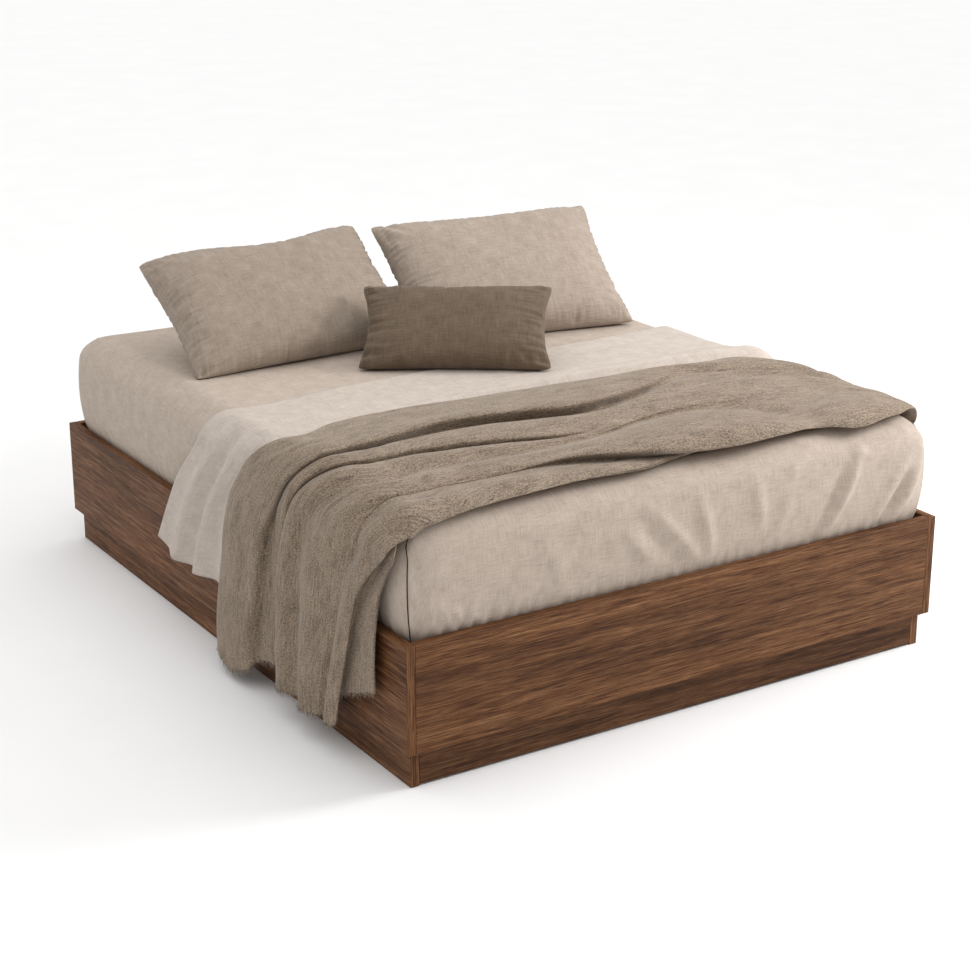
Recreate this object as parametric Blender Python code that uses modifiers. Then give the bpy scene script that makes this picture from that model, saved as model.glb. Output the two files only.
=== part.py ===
"""A low platform bed: a walnut rail box on a recessed plinth, with a slatted deck, a mattress and its bedding.

Metres, +Z up. The origin is on the floor, under the middle of the bed. +Y points to the head end and -Y to
the foot end, so "left" is the -X side, seen from the foot.
"""

import math

import bmesh
import bpy
from mathutils import Matrix, Vector

# Driving dimensions
MATTRESS_WIDTH, MATTRESS_LENGTH = 1.60, 2.00
MATTRESS_GAP = 0.015  # all round, between the mattress and the rails
BOARD = 0.025  # thickness of the veneered boards
RAIL_TOP, RAIL_BOTTOM = 0.380, 0.095
PLINTH_RECESS = 0.020
DECK_TOP = 0.330  # top of the slats
BED_TOP = 0.665  # top of the mattress
FIT = 0.0003  # gap kept between touching pieces
EASED = 0.0015  # eased edges of the boards

# Frame sizes that follow from them
INNER_X = MATTRESS_WIDTH / 2 + MATTRESS_GAP
INNER_Y = MATTRESS_LENGTH / 2 + MATTRESS_GAP
OUTER_X = INNER_X + BOARD
OUTER_Y = INNER_Y + BOARD
PLINTH_X = OUTER_X - PLINTH_RECESS
PLINTH_Y = OUTER_Y - PLINTH_RECESS

# Deck
SLATS, SLAT_WIDTH, SLAT_THICK = 14, 0.070, 0.020
SLAT_BOTTOM = DECK_TOP - SLAT_THICK
TAPE_WIDTH, TAPE_THICK, TAPE_X = 0.025, 0.0012, 0.40
LEDGER_WIDTH, LEDGER_HEIGHT = 0.030, 0.040
BEAM_WIDTH, BEAM_HEIGHT = 0.045, 0.070
BEAM_BOTTOM = SLAT_BOTTOM - FIT - BEAM_HEIGHT
HANGER_WALL, HANGER_DEPTH = 0.003, 0.045

# Plinth: its side boards stand on the floor, and its end boards hang just clear of it
END_CLEARANCE = 0.005
CLEAT_WIDTH, CLEAT_HEIGHT = 0.035, 0.025
RIB_Y, RIB_CLEARANCE = 0.34, 0.020

# Corner brackets and their bolts
BRACKET_LEG, BRACKET_WALL, BRACKET_HEIGHT, BRACKET_BOTTOM = 0.050, 0.003, 0.080, 0.160
BOLT_HEAD_RADIUS, BOLT_HEAD_HEIGHT = 0.0075, 0.0035
BOLT_RADIUS, BOLT_LENGTH, BOLT_SOCKET = 0.0030, 0.018, 0.0025

# Middle legs and their levelling feet
LEG_SIDE, LEG_BOTTOM, LEG_Y = 0.050, 0.022, 0.68
PAD_RADIUS, PAD_HEIGHT = 0.020, 0.008
STUD_RADIUS, STUD_TOP = 0.005, 0.060
BORE_DEPTH = 0.060

# Mattress
SIDE_BULGE = 0.032
TOP_RADIUS, BOTTOM_RADIUS, PLAN_RADIUS = 0.085, 0.030, 0.090
MATTRESS_BOTTOM = DECK_TOP + TAPE_THICK + 2 * FIT
SHEET_THICK = 0.0012

# Cloth laid over the mattress: clearance from the mattress, thickness, left and right hem heights
FLARE = 0.06  # how far out the hanging sides swing, per metre of drop
TOP_SHEET = {"clear": 0.004, "thick": 0.004, "left_hem": 0.205, "right_hem": 0.420}
THROW = {"clear": 0.012, "thick": 0.008, "left_hem": 0.045, "right_hem": 0.360}

# Pillows: width, height, thickness
PILLOW, LUMBAR = (0.735, 0.455, 0.180), (0.540, 0.280, 0.120)
PILLOW_EDGE = 0.005  # half the thickness at the seam
PILLOW_SEAM_RISE = 0.018  # how far the lower seam stands above what the pillow rests on

WALNUT = ((0.130, 0.068, 0.038), 0.45, 0.0)
BIRCH = ((0.560, 0.420, 0.270), 0.55, 0.0)
STEEL = ((0.420, 0.420, 0.430), 0.35, 1.0)
BLACK_PLASTIC = ((0.030, 0.030, 0.032), 0.60, 0.0)
WEBBING = ((0.700, 0.680, 0.640), 0.90, 0.0)
TICKING = ((0.780, 0.770, 0.740), 0.90, 0.0)
LINEN = ((0.430, 0.350, 0.285), 0.90, 0.0)
LIGHT_LINEN = ((0.520, 0.440, 0.370), 0.90, 0.0)
WOOL = ((0.300, 0.245, 0.190), 0.95, 0.0)
PILLOW_LINEN = ((0.370, 0.305, 0.240), 0.90, 0.0)
DARK_LINEN = ((0.165, 0.130, 0.098), 0.90, 0.0)


def clear_scene():
    for obj in list(bpy.data.objects):
        bpy.data.objects.remove(obj)


def new_collection(name):
    collection = bpy.data.collections.new(name)
    bpy.context.scene.collection.children.link(collection)
    return collection


def material(name, look):
    colour, roughness, metallic = look
    mat = bpy.data.materials.get(name) or bpy.data.materials.new(name)
    mat.use_nodes = True
    shader = mat.node_tree.nodes["Principled BSDF"]
    shader.inputs["Base Color"].default_value = (*colour, 1)
    shader.inputs["Roughness"].default_value = roughness
    shader.inputs["Metallic"].default_value = metallic
    return mat


def keep(obj, name, look_name, look, collection):
    """Names the object, gives it its material and files it in its collection."""
    obj.name = name
    obj.data.materials.clear()
    obj.data.materials.append(material(look_name, look))
    for owner in list(obj.users_collection):
        owner.objects.unlink(obj)
    collection.objects.link(obj)
    return obj


def box(low, high):
    """A box from corner to corner, with its origin at its centre."""
    low, high = Vector(low), Vector(high)
    bpy.ops.mesh.primitive_cube_add(size=1, location=(low + high) / 2)
    obj = bpy.context.object
    obj.scale = high - low
    bpy.ops.object.transform_apply(location=False, rotation=False, scale=True)
    return obj


def cylinder(radius, bottom, top, sides=24, tip=None):
    """An upright cylinder or cone from one centre point to another straight above it."""
    bottom, top = Vector(bottom), Vector(top)
    bpy.ops.mesh.primitive_cone_add(
        vertices=sides,
        radius1=radius,
        radius2=radius if tip is None else tip,
        depth=top.z - bottom.z,
        location=(bottom + top) / 2,
    )
    return bpy.context.object


def ease(obj, width=EASED):
    bevel = obj.modifiers.new("eased", "BEVEL")
    bevel.width = width
    bevel.segments = 1
    bevel.limit_method = "ANGLE"
    return obj


def boolean(obj, other, operation):
    modifier = obj.modifiers.new(operation.lower(), "BOOLEAN")
    modifier.operation = operation
    modifier.object = other
    modifier.solver = "EXACT"


def hide(obj, cutters):
    """Keeps a cutter out of the model."""
    for owner in list(obj.users_collection):
        owner.objects.unlink(obj)
    cutters.objects.link(obj)
    obj.hide_render = True
    obj.display_type = "WIRE"


def turned_mesh(profile, sides):
    """The mesh of a profile of (radius, height) points, listed top to bottom, turned about Z."""
    mesh = bpy.data.meshes.new("profile")
    points = [(radius, 0, height) for radius, height in profile]
    mesh.from_pydata(points, [(i, i + 1) for i in range(len(points) - 1)], [])
    obj = bpy.data.objects.new("profile", mesh)
    bpy.context.scene.collection.objects.link(obj)
    screw = obj.modifiers.new("turn", "SCREW")
    screw.steps = screw.render_steps = sides
    screw.use_merge_vertices = True
    screw.merge_threshold = 0.00001
    bpy.context.view_layer.update()
    graph = bpy.context.evaluated_depsgraph_get()
    turned = bpy.data.meshes.new_from_object(obj.evaluated_get(graph))
    bpy.data.objects.remove(obj)
    return turned


def bolt_mesh():
    """A button-head bolt along Z with a socket in its head, which seats at z = 0."""
    return turned_mesh(
        [
            (0, BOLT_HEAD_HEIGHT - 0.002),
            (BOLT_SOCKET, BOLT_HEAD_HEIGHT - 0.002),
            (BOLT_SOCKET, BOLT_HEAD_HEIGHT),
            (BOLT_HEAD_RADIUS * 0.6, BOLT_HEAD_HEIGHT),
            (BOLT_HEAD_RADIUS, BOLT_HEAD_HEIGHT * 0.4),
            (BOLT_HEAD_RADIUS, FIT),
            (BOLT_RADIUS, FIT),
            (BOLT_RADIUS, 0.001 - BOLT_LENGTH),
            (BOLT_RADIUS - 0.001, -BOLT_LENGTH),
            (0, -BOLT_LENGTH),
        ],
        12,
    )


def drive_bolt(mesh, name, point, out, boards, parts, cutters):
    """A bolt whose head seats on point and faces out, with its hole cut through the boards."""
    place = Matrix.Translation(point) @ Vector(out).to_track_quat("Z", "Y").to_matrix().to_4x4()
    bolt = keep(bpy.data.objects.new(name, mesh), name, "steel", STEEL, parts)
    bolt.matrix_world = place
    drill = cylinder(BOLT_RADIUS + FIT, (0, 0, -BOLT_LENGTH - 0.001), (0, 0, 0.002), sides=12)
    drill.name = f"drill_{name}"
    drill.matrix_world = place @ drill.matrix_world
    hide(drill, cutters)
    for board in boards:
        boolean(board, drill, "DIFFERENCE")


def walnut_board(name, low, high, parts):
    return ease(keep(box(low, high), name, "walnut", WALNUT, parts))


def rails(parts):
    """The rail box: the side rails run the full length and hold the end rails between them."""
    made = {}
    for side, sign in (("left", -1), ("right", 1)):
        near, far = sorted((sign * INNER_X, sign * OUTER_X))
        made[side] = walnut_board(
            f"side_rail_{side}", (near, -OUTER_Y, RAIL_BOTTOM), (far, OUTER_Y, RAIL_TOP), parts
        )
    reach = INNER_X - FIT
    for end, sign in (("foot", -1), ("head", 1)):
        near, far = sorted((sign * INNER_Y, sign * OUTER_Y))
        made[end] = walnut_board(
            f"{end}_rail", (-reach, near, RAIL_BOTTOM), (reach, far, RAIL_TOP), parts
        )
    return made


def plinth(parts):
    """The recessed plinth frame, with two ribs across it."""
    top = RAIL_BOTTOM - FIT
    inner_x, inner_y = PLINTH_X - BOARD, PLINTH_Y - BOARD
    for side, sign in (("left", -1), ("right", 1)):
        near, far = sorted((sign * inner_x, sign * PLINTH_X))
        walnut_board(f"plinth_{side}", (near, -PLINTH_Y, 0), (far, PLINTH_Y, top), parts)
    reach = inner_x - FIT
    for end, sign in (("foot", -1), ("head", 1)):
        near, far = sorted((sign * inner_y, sign * PLINTH_Y))
        walnut_board(f"plinth_{end}", (-reach, near, END_CLEARANCE), (reach, far, top), parts)
    for number, sign in ((1, -1), (2, 1)):
        y = sign * RIB_Y
        rib = box((-reach, y - BOARD / 2, RIB_CLEARANCE), (reach, y + BOARD / 2, top))
        keep(rib, f"plinth_rib_{number}", "birch", BIRCH, parts)


def cleats(parts):
    """Strips along the foot of the rails, which carry the rail box on the plinth."""
    low, high = RAIL_BOTTOM, RAIL_BOTTOM + CLEAT_HEIGHT
    outer_x, outer_y = INNER_X - FIT, INNER_Y - FIT
    for side, sign in (("left", -1), ("right", 1)):
        near, far = sorted((sign * (outer_x - CLEAT_WIDTH), sign * outer_x))
        cleat = box((near, -outer_y, low), (far, outer_y, high))
        keep(cleat, f"base_cleat_{side}", "birch", BIRCH, parts)
    reach = outer_x - CLEAT_WIDTH - FIT
    for end, sign in (("foot", -1), ("head", 1)):
        near, far = sorted((sign * (outer_y - CLEAT_WIDTH), sign * outer_y))
        cleat = box((-reach, near, low), (reach, far, high))
        keep(cleat, f"base_cleat_{end}", "birch", BIRCH, parts)


def ledgers(parts):
    """The strips along the side rails, which carry the slats' ends."""
    top, reach = SLAT_BOTTOM - FIT, INNER_Y - 0.002
    for side, sign in (("left", -1), ("right", 1)):
        near, far = sorted((sign * (INNER_X - FIT - LEDGER_WIDTH), sign * (INNER_X - FIT)))
        ledger = box((near, -reach, top - LEDGER_HEIGHT), (far, reach, top))
        keep(ledger, f"ledger_{side}", "birch", BIRCH, parts)


def corner_brackets(made, parts, cutters):
    """A steel angle in each corner of the rail box, with a bolt into each of its two rails."""
    mesh = bolt_mesh()
    for end, sy in (("foot", -1), ("head", 1)):
        for side, sx in (("left", -1), ("right", 1)):
            corner = Vector((sx * (INNER_X - FIT), sy * (INNER_Y - FIT), BRACKET_BOTTOM))

            def at(along_x, along_y, up):
                return corner + Vector((-sx * along_x, -sy * along_y, up))

            def span(one, other):
                low = [min(p, q) for p, q in zip(one, other)]
                high = [max(p, q) for p, q in zip(one, other)]
                return box(low, high)

            name = f"corner_bracket_{end}_{side}"
            bracket = span(at(0, 0, 0), at(BRACKET_LEG, BRACKET_LEG, BRACKET_HEIGHT))
            past = BRACKET_LEG + 0.01
            notch = span(at(BRACKET_WALL, BRACKET_WALL, -0.01), at(past, past, BRACKET_HEIGHT + 0.01))
            notch.name = f"notch_{end}_{side}"
            hide(notch, cutters)
            boolean(bracket, notch, "DIFFERENCE")
            keep(bracket, name, "steel", STEEL, parts)
            middle, up = BRACKET_LEG * 0.6, BRACKET_HEIGHT / 2
            for rail, point, out in (
                (side, at(BRACKET_WALL, middle, up), (-sx, 0, 0)),
                (end, at(middle, BRACKET_WALL, up), (0, -sy, 0)),
            ):
                bolt = f"corner_bolt_{end}_{side}_{'side' if rail == side else 'end'}"
                drive_bolt(mesh, bolt, point, out, (bracket, made[rail]), parts, cutters)


def centre_beam(parts, cutters):
    """The beam under the slats' middles, held at each end in a steel pocket on the end rail."""
    half, top = BEAM_WIDTH / 2, SLAT_BOTTOM - FIT
    reach = INNER_Y - HANGER_WALL - 2 * FIT
    keep(box((-half, -reach, BEAM_BOTTOM), (half, reach, top)), "centre_beam", "birch", BIRCH, parts)

    outer = half + FIT + HANGER_WALL
    flange = outer + 0.022
    low, high = BEAM_BOTTOM - FIT - HANGER_WALL, BEAM_BOTTOM + 0.050
    for end, sign in (("foot", -1), ("head", 1)):
        back, face = sign * (INNER_Y - FIT), sign * (INNER_Y - FIT - HANGER_WALL)
        hanger = box((-flange, min(back, face), low), (flange, max(back, face), high))
        inside, mouth = sign * (INNER_Y - 0.0015), sign * (INNER_Y - HANGER_DEPTH)
        pocket = box((-outer, min(inside, mouth), low), (outer, max(inside, mouth), high))
        beyond = mouth - sign * 0.02
        room = box(
            (-half - FIT, min(face, beyond), BEAM_BOTTOM - FIT),
            (half + FIT, max(face, beyond), high + 0.02),
        )
        pocket.name, room.name = f"pocket_{end}", f"room_{end}"
        hide(pocket, cutters)
        hide(room, cutters)
        boolean(hanger, pocket, "UNION")
        boolean(hanger, room, "DIFFERENCE")
        keep(hanger, f"beam_hanger_{end}", "steel", STEEL, parts)


def middle_legs(parts, cutters):
    """Three legs under the beam, each on a levelling foot: a threaded stud with a round pad."""
    top = BEAM_BOTTOM - FIT
    half = LEG_SIDE / 2
    for number, y in ((1, -LEG_Y), (2, 0.0), (3, LEG_Y)):
        leg = box((-half, y - half, LEG_BOTTOM), (half, y + half, top))
        bore = cylinder(STUD_RADIUS + FIT, (0, y, LEG_BOTTOM - 0.01), (0, y, LEG_BOTTOM + BORE_DEPTH))
        bore.name = f"bore_{number}"
        hide(bore, cutters)
        keep(leg, f"centre_leg_{number}", "birch", BIRCH, parts)
        ease(leg, 0.003)
        boolean(leg, bore, "DIFFERENCE")

        profile = [
            (0, STUD_TOP),
            (STUD_RADIUS * 0.8, STUD_TOP),
            (STUD_RADIUS, STUD_TOP - 0.001),
            (STUD_RADIUS, PAD_HEIGHT + 0.002),
            (STUD_RADIUS * 1.8, PAD_HEIGHT),
            (PAD_RADIUS * 0.8, PAD_HEIGHT * 0.8),
            (PAD_RADIUS, PAD_HEIGHT * 0.4),
            (PAD_RADIUS, 0),
            (0, 0),
        ]
        foot = bpy.data.objects.new("foot", turned_mesh(profile, 24))
        foot.location = (0, y, 0)
        keep(foot, f"levelling_foot_{number}", "black_plastic", BLACK_PLASTIC, parts)


def slats(parts):
    """The slats across the bed, and the two webbing tapes that keep them evenly apart."""
    reach_x = INNER_X - 0.004
    first = -INNER_Y + 0.012 + SLAT_WIDTH / 2
    pitch = -2 * first / (SLATS - 1)
    for number in range(SLATS):
        y = first + number * pitch
        slat = box((-reach_x, y - SLAT_WIDTH / 2, SLAT_BOTTOM), (reach_x, y + SLAT_WIDTH / 2, DECK_TOP))
        ease(keep(slat, f"slat_{number + 1:02d}", "birch", BIRCH, parts), 0.003)
    reach_y = -first + SLAT_WIDTH * 0.4
    for side, sign in (("left", -1), ("right", 1)):
        x = sign * TAPE_X
        low = (x - TAPE_WIDTH / 2, -reach_y, DECK_TOP + FIT)
        high = (x + TAPE_WIDTH / 2, reach_y, DECK_TOP + FIT + TAPE_THICK)
        keep(box(low, high), f"slat_tape_{side}", "webbing", WEBBING, parts)


def side_bulge(z):
    """How far the mattress' sides swell past its nominal size, at a height between the rails and its top."""
    share = (z - RAIL_TOP) / (BED_TOP - RAIL_TOP)
    return SIDE_BULGE * math.sin(math.pi * share) if 0 < share < 1 else 0.0


def mattress_section():
    """(height, distance in from the nominal side) up the mattress' side: bottom arc, side, top arc."""
    points = []
    for step in range(4):
        angle = math.radians(30 * step)
        z = MATTRESS_BOTTOM + BOTTOM_RADIUS * (1 - math.cos(angle))
        points.append((z, BOTTOM_RADIUS * (1 - math.sin(angle))))
    shoulder = BED_TOP - TOP_RADIUS
    low = points[-1][0]
    for step in range(1, 6):
        points.append((low + (shoulder - low) * step / 6, 0.0))
    for step in range(6):
        angle = math.radians(18 * step)
        points.append((shoulder + TOP_RADIUS * math.sin(angle), TOP_RADIUS * (1 - math.cos(angle))))
    return points


def rounded_loop(half_x, half_y, radius, z):
    """A ring of points round a rectangle with round corners."""
    ring = []
    for quarter in range(4):
        sx, sy = ((1, 1), (-1, 1), (-1, -1), (1, -1))[quarter]
        for step in range(5):
            angle = math.radians(90 * quarter + 22.5 * step)
            x = sx * (half_x - radius) + radius * math.cos(angle)
            y = sy * (half_y - radius) + radius * math.sin(angle)
            ring.append((x, y, z))
    return ring


def lofted(rings, close_bottom):
    """A surface through rings of points, closed over its last ring."""
    mesh = bmesh.new()
    loops = [[mesh.verts.new(p) for p in ring] for ring in rings]
    count = len(loops[0])
    for lower, upper in zip(loops, loops[1:]):
        for i in range(count):
            j = (i + 1) % count
            mesh.faces.new((lower[i], lower[j], upper[j], upper[i]))
    mesh.faces.new(loops[-1])
    if close_bottom:
        mesh.faces.new(list(reversed(loops[0])))
    data = bpy.data.meshes.new("loft")
    mesh.to_mesh(data)
    mesh.free()
    data.shade_smooth()
    return bpy.data.objects.new("loft", data)


def mattress(parts):
    """The mattress, and the fitted sheet pulled over its top and sides."""
    half_x, half_y = MATTRESS_WIDTH / 2, MATTRESS_LENGTH / 2

    def rings(grow, points):
        found = []
        for z, inward in points:
            out = side_bulge(z) - inward + grow
            up = grow if z > BED_TOP - TOP_RADIUS else 0.0
            found.append(rounded_loop(half_x + out, half_y + out, PLAN_RADIUS, z + up))
        return found

    section = mattress_section()
    body = lofted(rings(0.0, section), close_bottom=True)
    keep(body, "mattress", "ticking", TICKING, parts)

    cover = lofted(rings(2 * FIT, section[3:]), close_bottom=False)
    keep(cover, "fitted_sheet", "linen", LINEN, parts)
    shell = cover.modifiers.new("shell", "SOLIDIFY")
    shell.thickness = SHEET_THICK
    shell.offset = 1


def drape_line(cloth):
    """(x, z) points of a cloth laid across the mattress, from its left hem, over the top, to its right hem."""
    side = MATTRESS_WIDTH / 2 + SIDE_BULGE
    gap = cloth["clear"]
    shoulder = BED_TOP - TOP_RADIUS
    arc = []
    for step in range(7):
        angle = math.radians(15 * step)
        reach = TOP_RADIUS + gap
        arc.append((side - TOP_RADIUS + reach * math.cos(angle), shoulder + reach * math.sin(angle)))

    def hang(hem):
        falls = [(shoulder - hem) * step / 4 for step in (4, 3, 2, 1)]
        return [(side + gap + FLARE * fall, shoulder - fall) for fall in falls]

    left = [(-x, z) for x, z in hang(cloth["left_hem"]) + arc]
    flat = [(x, BED_TOP + gap) for x in (-0.5, -0.25, 0.0, 0.25, 0.5)]
    right = list(reversed(hang(cloth["right_hem"]) + arc))
    return left + flat + right


def draped(cloth, name, look_name, look, edges, rows, parts):
    """A cloth laid over the mattress. edges(x, z) gives its foot side and head side there."""
    line = drape_line(cloth)
    mesh = bmesh.new()
    lanes = []
    for x, z in line:
        foot_side, head_side = edges(x, z)
        lane = [foot_side + (head_side - foot_side) * k / rows for k in range(rows + 1)]
        lanes.append([mesh.verts.new((x, y, z)) for y in lane])
    for here, there in zip(lanes, lanes[1:]):
        for k in range(rows):
            mesh.faces.new((here[k], there[k], there[k + 1], here[k + 1]))
    data = bpy.data.meshes.new(name)
    mesh.to_mesh(data)
    mesh.free()
    data.shade_smooth()
    obj = keep(bpy.data.objects.new(name, data), name, look_name, look, parts)
    shell = obj.modifiers.new("shell", "SOLIDIFY")
    shell.thickness = cloth["thick"]
    shell.offset = 1
    return obj


def left_drop(x, z):
    """0 on top of the bed, rising to 1 at floor level on the left side."""
    return max(0.0, (BED_TOP - z) / BED_TOP) if x < 0 else 0.0


def cloths(parts):
    """The light top sheet across the middle, and the wool throw over the foot end."""

    def sheet_edges(x, z):
        drop = left_drop(x, z)
        return -0.30 + 0.10 * drop, 0.08 + 0.40 * drop

    def throw_edges(x, z):
        drop = left_drop(x, z)
        return -0.97 + 0.03 * drop, -0.20 + 0.12 * drop

    draped(TOP_SHEET, "top_sheet", "light_linen", LIGHT_LINEN, sheet_edges, 4, parts)
    draped(THROW, "throw_blanket", "wool", WOOL, throw_edges, 6, parts)


def pillow(name, size, pose, rest, look_name, look, parts):
    """A pillow standing on its lower long edge and leaning back, flattened where it rests at height rest.

    pose is the middle of its lower edge (x, y), then its turn about Z, its slope above the horizontal and
    its tilt in its own plane, in degrees.
    """
    width, height, thick = size
    x, y, yaw, lean, tilt = pose
    turn = (
        Matrix.Translation((x, y, rest + PILLOW_SEAM_RISE))
        @ Matrix.Rotation(math.radians(yaw), 4, "Z")
        @ Matrix.Rotation(math.radians(lean), 4, "X")
        @ Matrix.Rotation(math.radians(tilt), 4, "Z")
    )
    mesh = bmesh.new()
    bmesh.ops.create_cube(mesh, size=2)
    bmesh.ops.subdivide_edges(mesh, edges=mesh.edges[:], cuts=7, use_grid_fill=True)
    for vert in mesh.verts:
        u, v, w = vert.co
        # The two faces close towards the seam, and the seam pulls in between the corners.
        full = math.sqrt(max(0.0, (1 - u**4) * (1 - v**4)))
        pull_u, pull_v = 1 - 0.05 * (1 - v * v), 1 - 0.05 * (1 - u * u)
        along = u * pull_u * width / 2
        up = (1 + v * pull_v) * height / 2
        out = w * (PILLOW_EDGE + full * (thick / 2 - PILLOW_EDGE))
        world = turn @ Vector((along, up, out))
        world.z = max(world.z, rest)
        vert.co = turn.inverted() @ world
    data = bpy.data.meshes.new(name)
    mesh.to_mesh(data)
    mesh.free()
    data.shade_smooth()
    obj = keep(bpy.data.objects.new(name, data), name, look_name, look, parts)
    obj.matrix_world = turn


def pillows(parts):
    """Two bed pillows on the fitted sheet, and a lumbar cushion on the top sheet in front of them."""
    on_bed = BED_TOP + 3 * FIT + SHEET_THICK
    on_sheet = BED_TOP + TOP_SHEET["clear"] + TOP_SHEET["thick"] + FIT
    taupe = ("pillow_linen", PILLOW_LINEN, parts)
    pillow("pillow_left", PILLOW, (-0.345, 0.345, -1.0, 37.0, 2.5), on_bed, *taupe)
    pillow("pillow_right", PILLOW, (0.340, 0.236, -9.0, 39.5, 0.5), on_bed, *taupe)
    lumbar = (-0.048, 0.026, -35.5, 41.0, 1.0)
    pillow("lumbar_cushion", LUMBAR, lumbar, on_sheet, "dark_linen", DARK_LINEN, parts)


def main():
    clear_scene()
    parts = new_collection("platform_bed")
    cutters = new_collection("cutters")
    made = rails(parts)
    plinth(parts)
    cleats(parts)
    ledgers(parts)
    corner_brackets(made, parts, cutters)
    centre_beam(parts, cutters)
    middle_legs(parts, cutters)
    slats(parts)
    mattress(parts)
    cloths(parts)
    pillows(parts)


main()
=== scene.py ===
"""The looks of a low walnut platform bed with its mattress and bedding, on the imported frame."""

import math

import bmesh
import bpy
import numpy as np
from mathutils import Matrix, Vector, noise


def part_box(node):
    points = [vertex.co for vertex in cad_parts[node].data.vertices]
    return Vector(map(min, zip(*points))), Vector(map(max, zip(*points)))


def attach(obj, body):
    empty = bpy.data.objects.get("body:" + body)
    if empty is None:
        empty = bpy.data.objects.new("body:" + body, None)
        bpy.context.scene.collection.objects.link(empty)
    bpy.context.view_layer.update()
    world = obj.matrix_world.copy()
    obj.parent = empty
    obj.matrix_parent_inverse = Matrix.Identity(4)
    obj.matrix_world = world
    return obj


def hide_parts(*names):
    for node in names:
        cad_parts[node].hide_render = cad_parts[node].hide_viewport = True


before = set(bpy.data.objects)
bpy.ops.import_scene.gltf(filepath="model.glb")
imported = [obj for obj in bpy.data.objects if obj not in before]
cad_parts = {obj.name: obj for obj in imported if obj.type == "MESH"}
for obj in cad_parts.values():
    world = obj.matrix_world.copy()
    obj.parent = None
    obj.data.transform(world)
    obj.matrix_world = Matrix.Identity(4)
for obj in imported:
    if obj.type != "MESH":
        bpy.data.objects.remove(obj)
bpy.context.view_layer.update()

# The camera: where it stands, how it is turned, and its lens
CAMERA_AT = (-3.095, -4.939, 2.340)
CAMERA_AZIMUTH, CAMERA_ELEVATION = -32.39, 19.10
CAMERA_LENS = 77.9

# The light: the sky's colours, and where the key lamp stands, what it is aimed at, its size and its power
HORIZON, ZENITH, SKY_STRENGTH = (0.08, 0.070, 0.062), (1.0, 1.0, 1.0), 1.60
KEY_AT, KEY_AIM = (2.9, -1.75, 2.1), (0.2, -0.5, 0.5)
KEY_SIZE, KEY_POWER = 1.3, 84.0

# Sizes taken from the frame
RAIL_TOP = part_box("side_rail_left")[1].z
BED_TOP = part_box("fitted_sheet")[1].z
SIDE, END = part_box("fitted_sheet")[1].x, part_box("fitted_sheet")[1].y
EDGE_RADIUS = 0.075
SWELL_ROOM = 0.032  # how far in the mattress' straight sides stand, so that they can swell


# Small helpers

def smooth(edge0, edge1, x):
    """0 below edge0, 1 above edge1 and a smooth step between."""
    t = np.clip((x - edge0) / (edge1 - edge0), 0.0, 1.0)
    return t * t * (3 - 2 * t)


def spline(stations, values, at):
    """A smooth curve through values (stations first) at the increasing stations, read at the points given."""
    xs, ys = np.asarray(stations, float), np.asarray(values, float)
    slopes = np.gradient(ys, xs, axis=0)
    i = np.clip(np.searchsorted(xs, at) - 1, 0, len(xs) - 2)
    h = xs[i + 1] - xs[i]
    t = np.clip((at - xs[i]) / h, 0.0, 1.0)
    shape = (-1,) + (1,) * (ys.ndim - 1)
    t, h = t.reshape(shape), h.reshape(shape)
    return (
        (2 * t**3 - 3 * t**2 + 1) * ys[i]
        + (t**3 - 2 * t**2 + t) * h * slopes[i]
        + (3 * t**2 - 2 * t**3) * ys[i + 1]
        + (t**3 - t**2) * h * slopes[i + 1]
    )


def wander(points, size, seed):
    """Soft noise from -1 to 1 at each point, with features about size metres across."""
    shift = Vector((seed * 7.13, seed * 3.71, seed * 1.97))
    return np.array([noise.noise(Vector(p) / size + shift) for p in points])


def grid_faces(rows, columns):
    index = np.arange(rows * columns).reshape(rows, columns)
    corners = (index[:-1, :-1], index[:-1, 1:], index[1:, 1:], index[1:, :-1])
    return np.stack([c.ravel() for c in corners], axis=1)


def mesh_object(name, points, faces, uvs=None):
    mesh = bpy.data.meshes.new(name)
    mesh.from_pydata([tuple(p) for p in points], [], [tuple(int(i) for i in f) for f in faces])
    mesh.update()
    if uvs is not None:
        layer = mesh.uv_layers.new(name="cloth")
        corner = np.empty(len(mesh.loops), int)
        mesh.loops.foreach_get("vertex_index", corner)
        layer.data.foreach_set("uv", np.asarray(uvs, float)[corner].ravel())
    mesh.shade_smooth()
    obj = bpy.data.objects.new(name, mesh)
    bpy.context.scene.collection.objects.link(obj)
    return obj


def thicken(obj, thickness):
    shell = obj.modifiers.new("cloth", "SOLIDIFY")
    shell.thickness = thickness
    shell.offset = 1
    return obj


def points_of(mesh):
    points = np.empty(len(mesh.vertices) * 3)
    mesh.vertices.foreach_get("co", points)
    return points.reshape(-1, 3)


def move_points(mesh, points):
    mesh.vertices.foreach_set("co", points.ravel())
    mesh.update()


def along_line(line, stations, at):
    """The points of a line, or any vectors along it, read between its stations."""
    return np.stack([np.interp(at, stations, line[:, k]) for k in range(3)], axis=1)


# Materials

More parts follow.
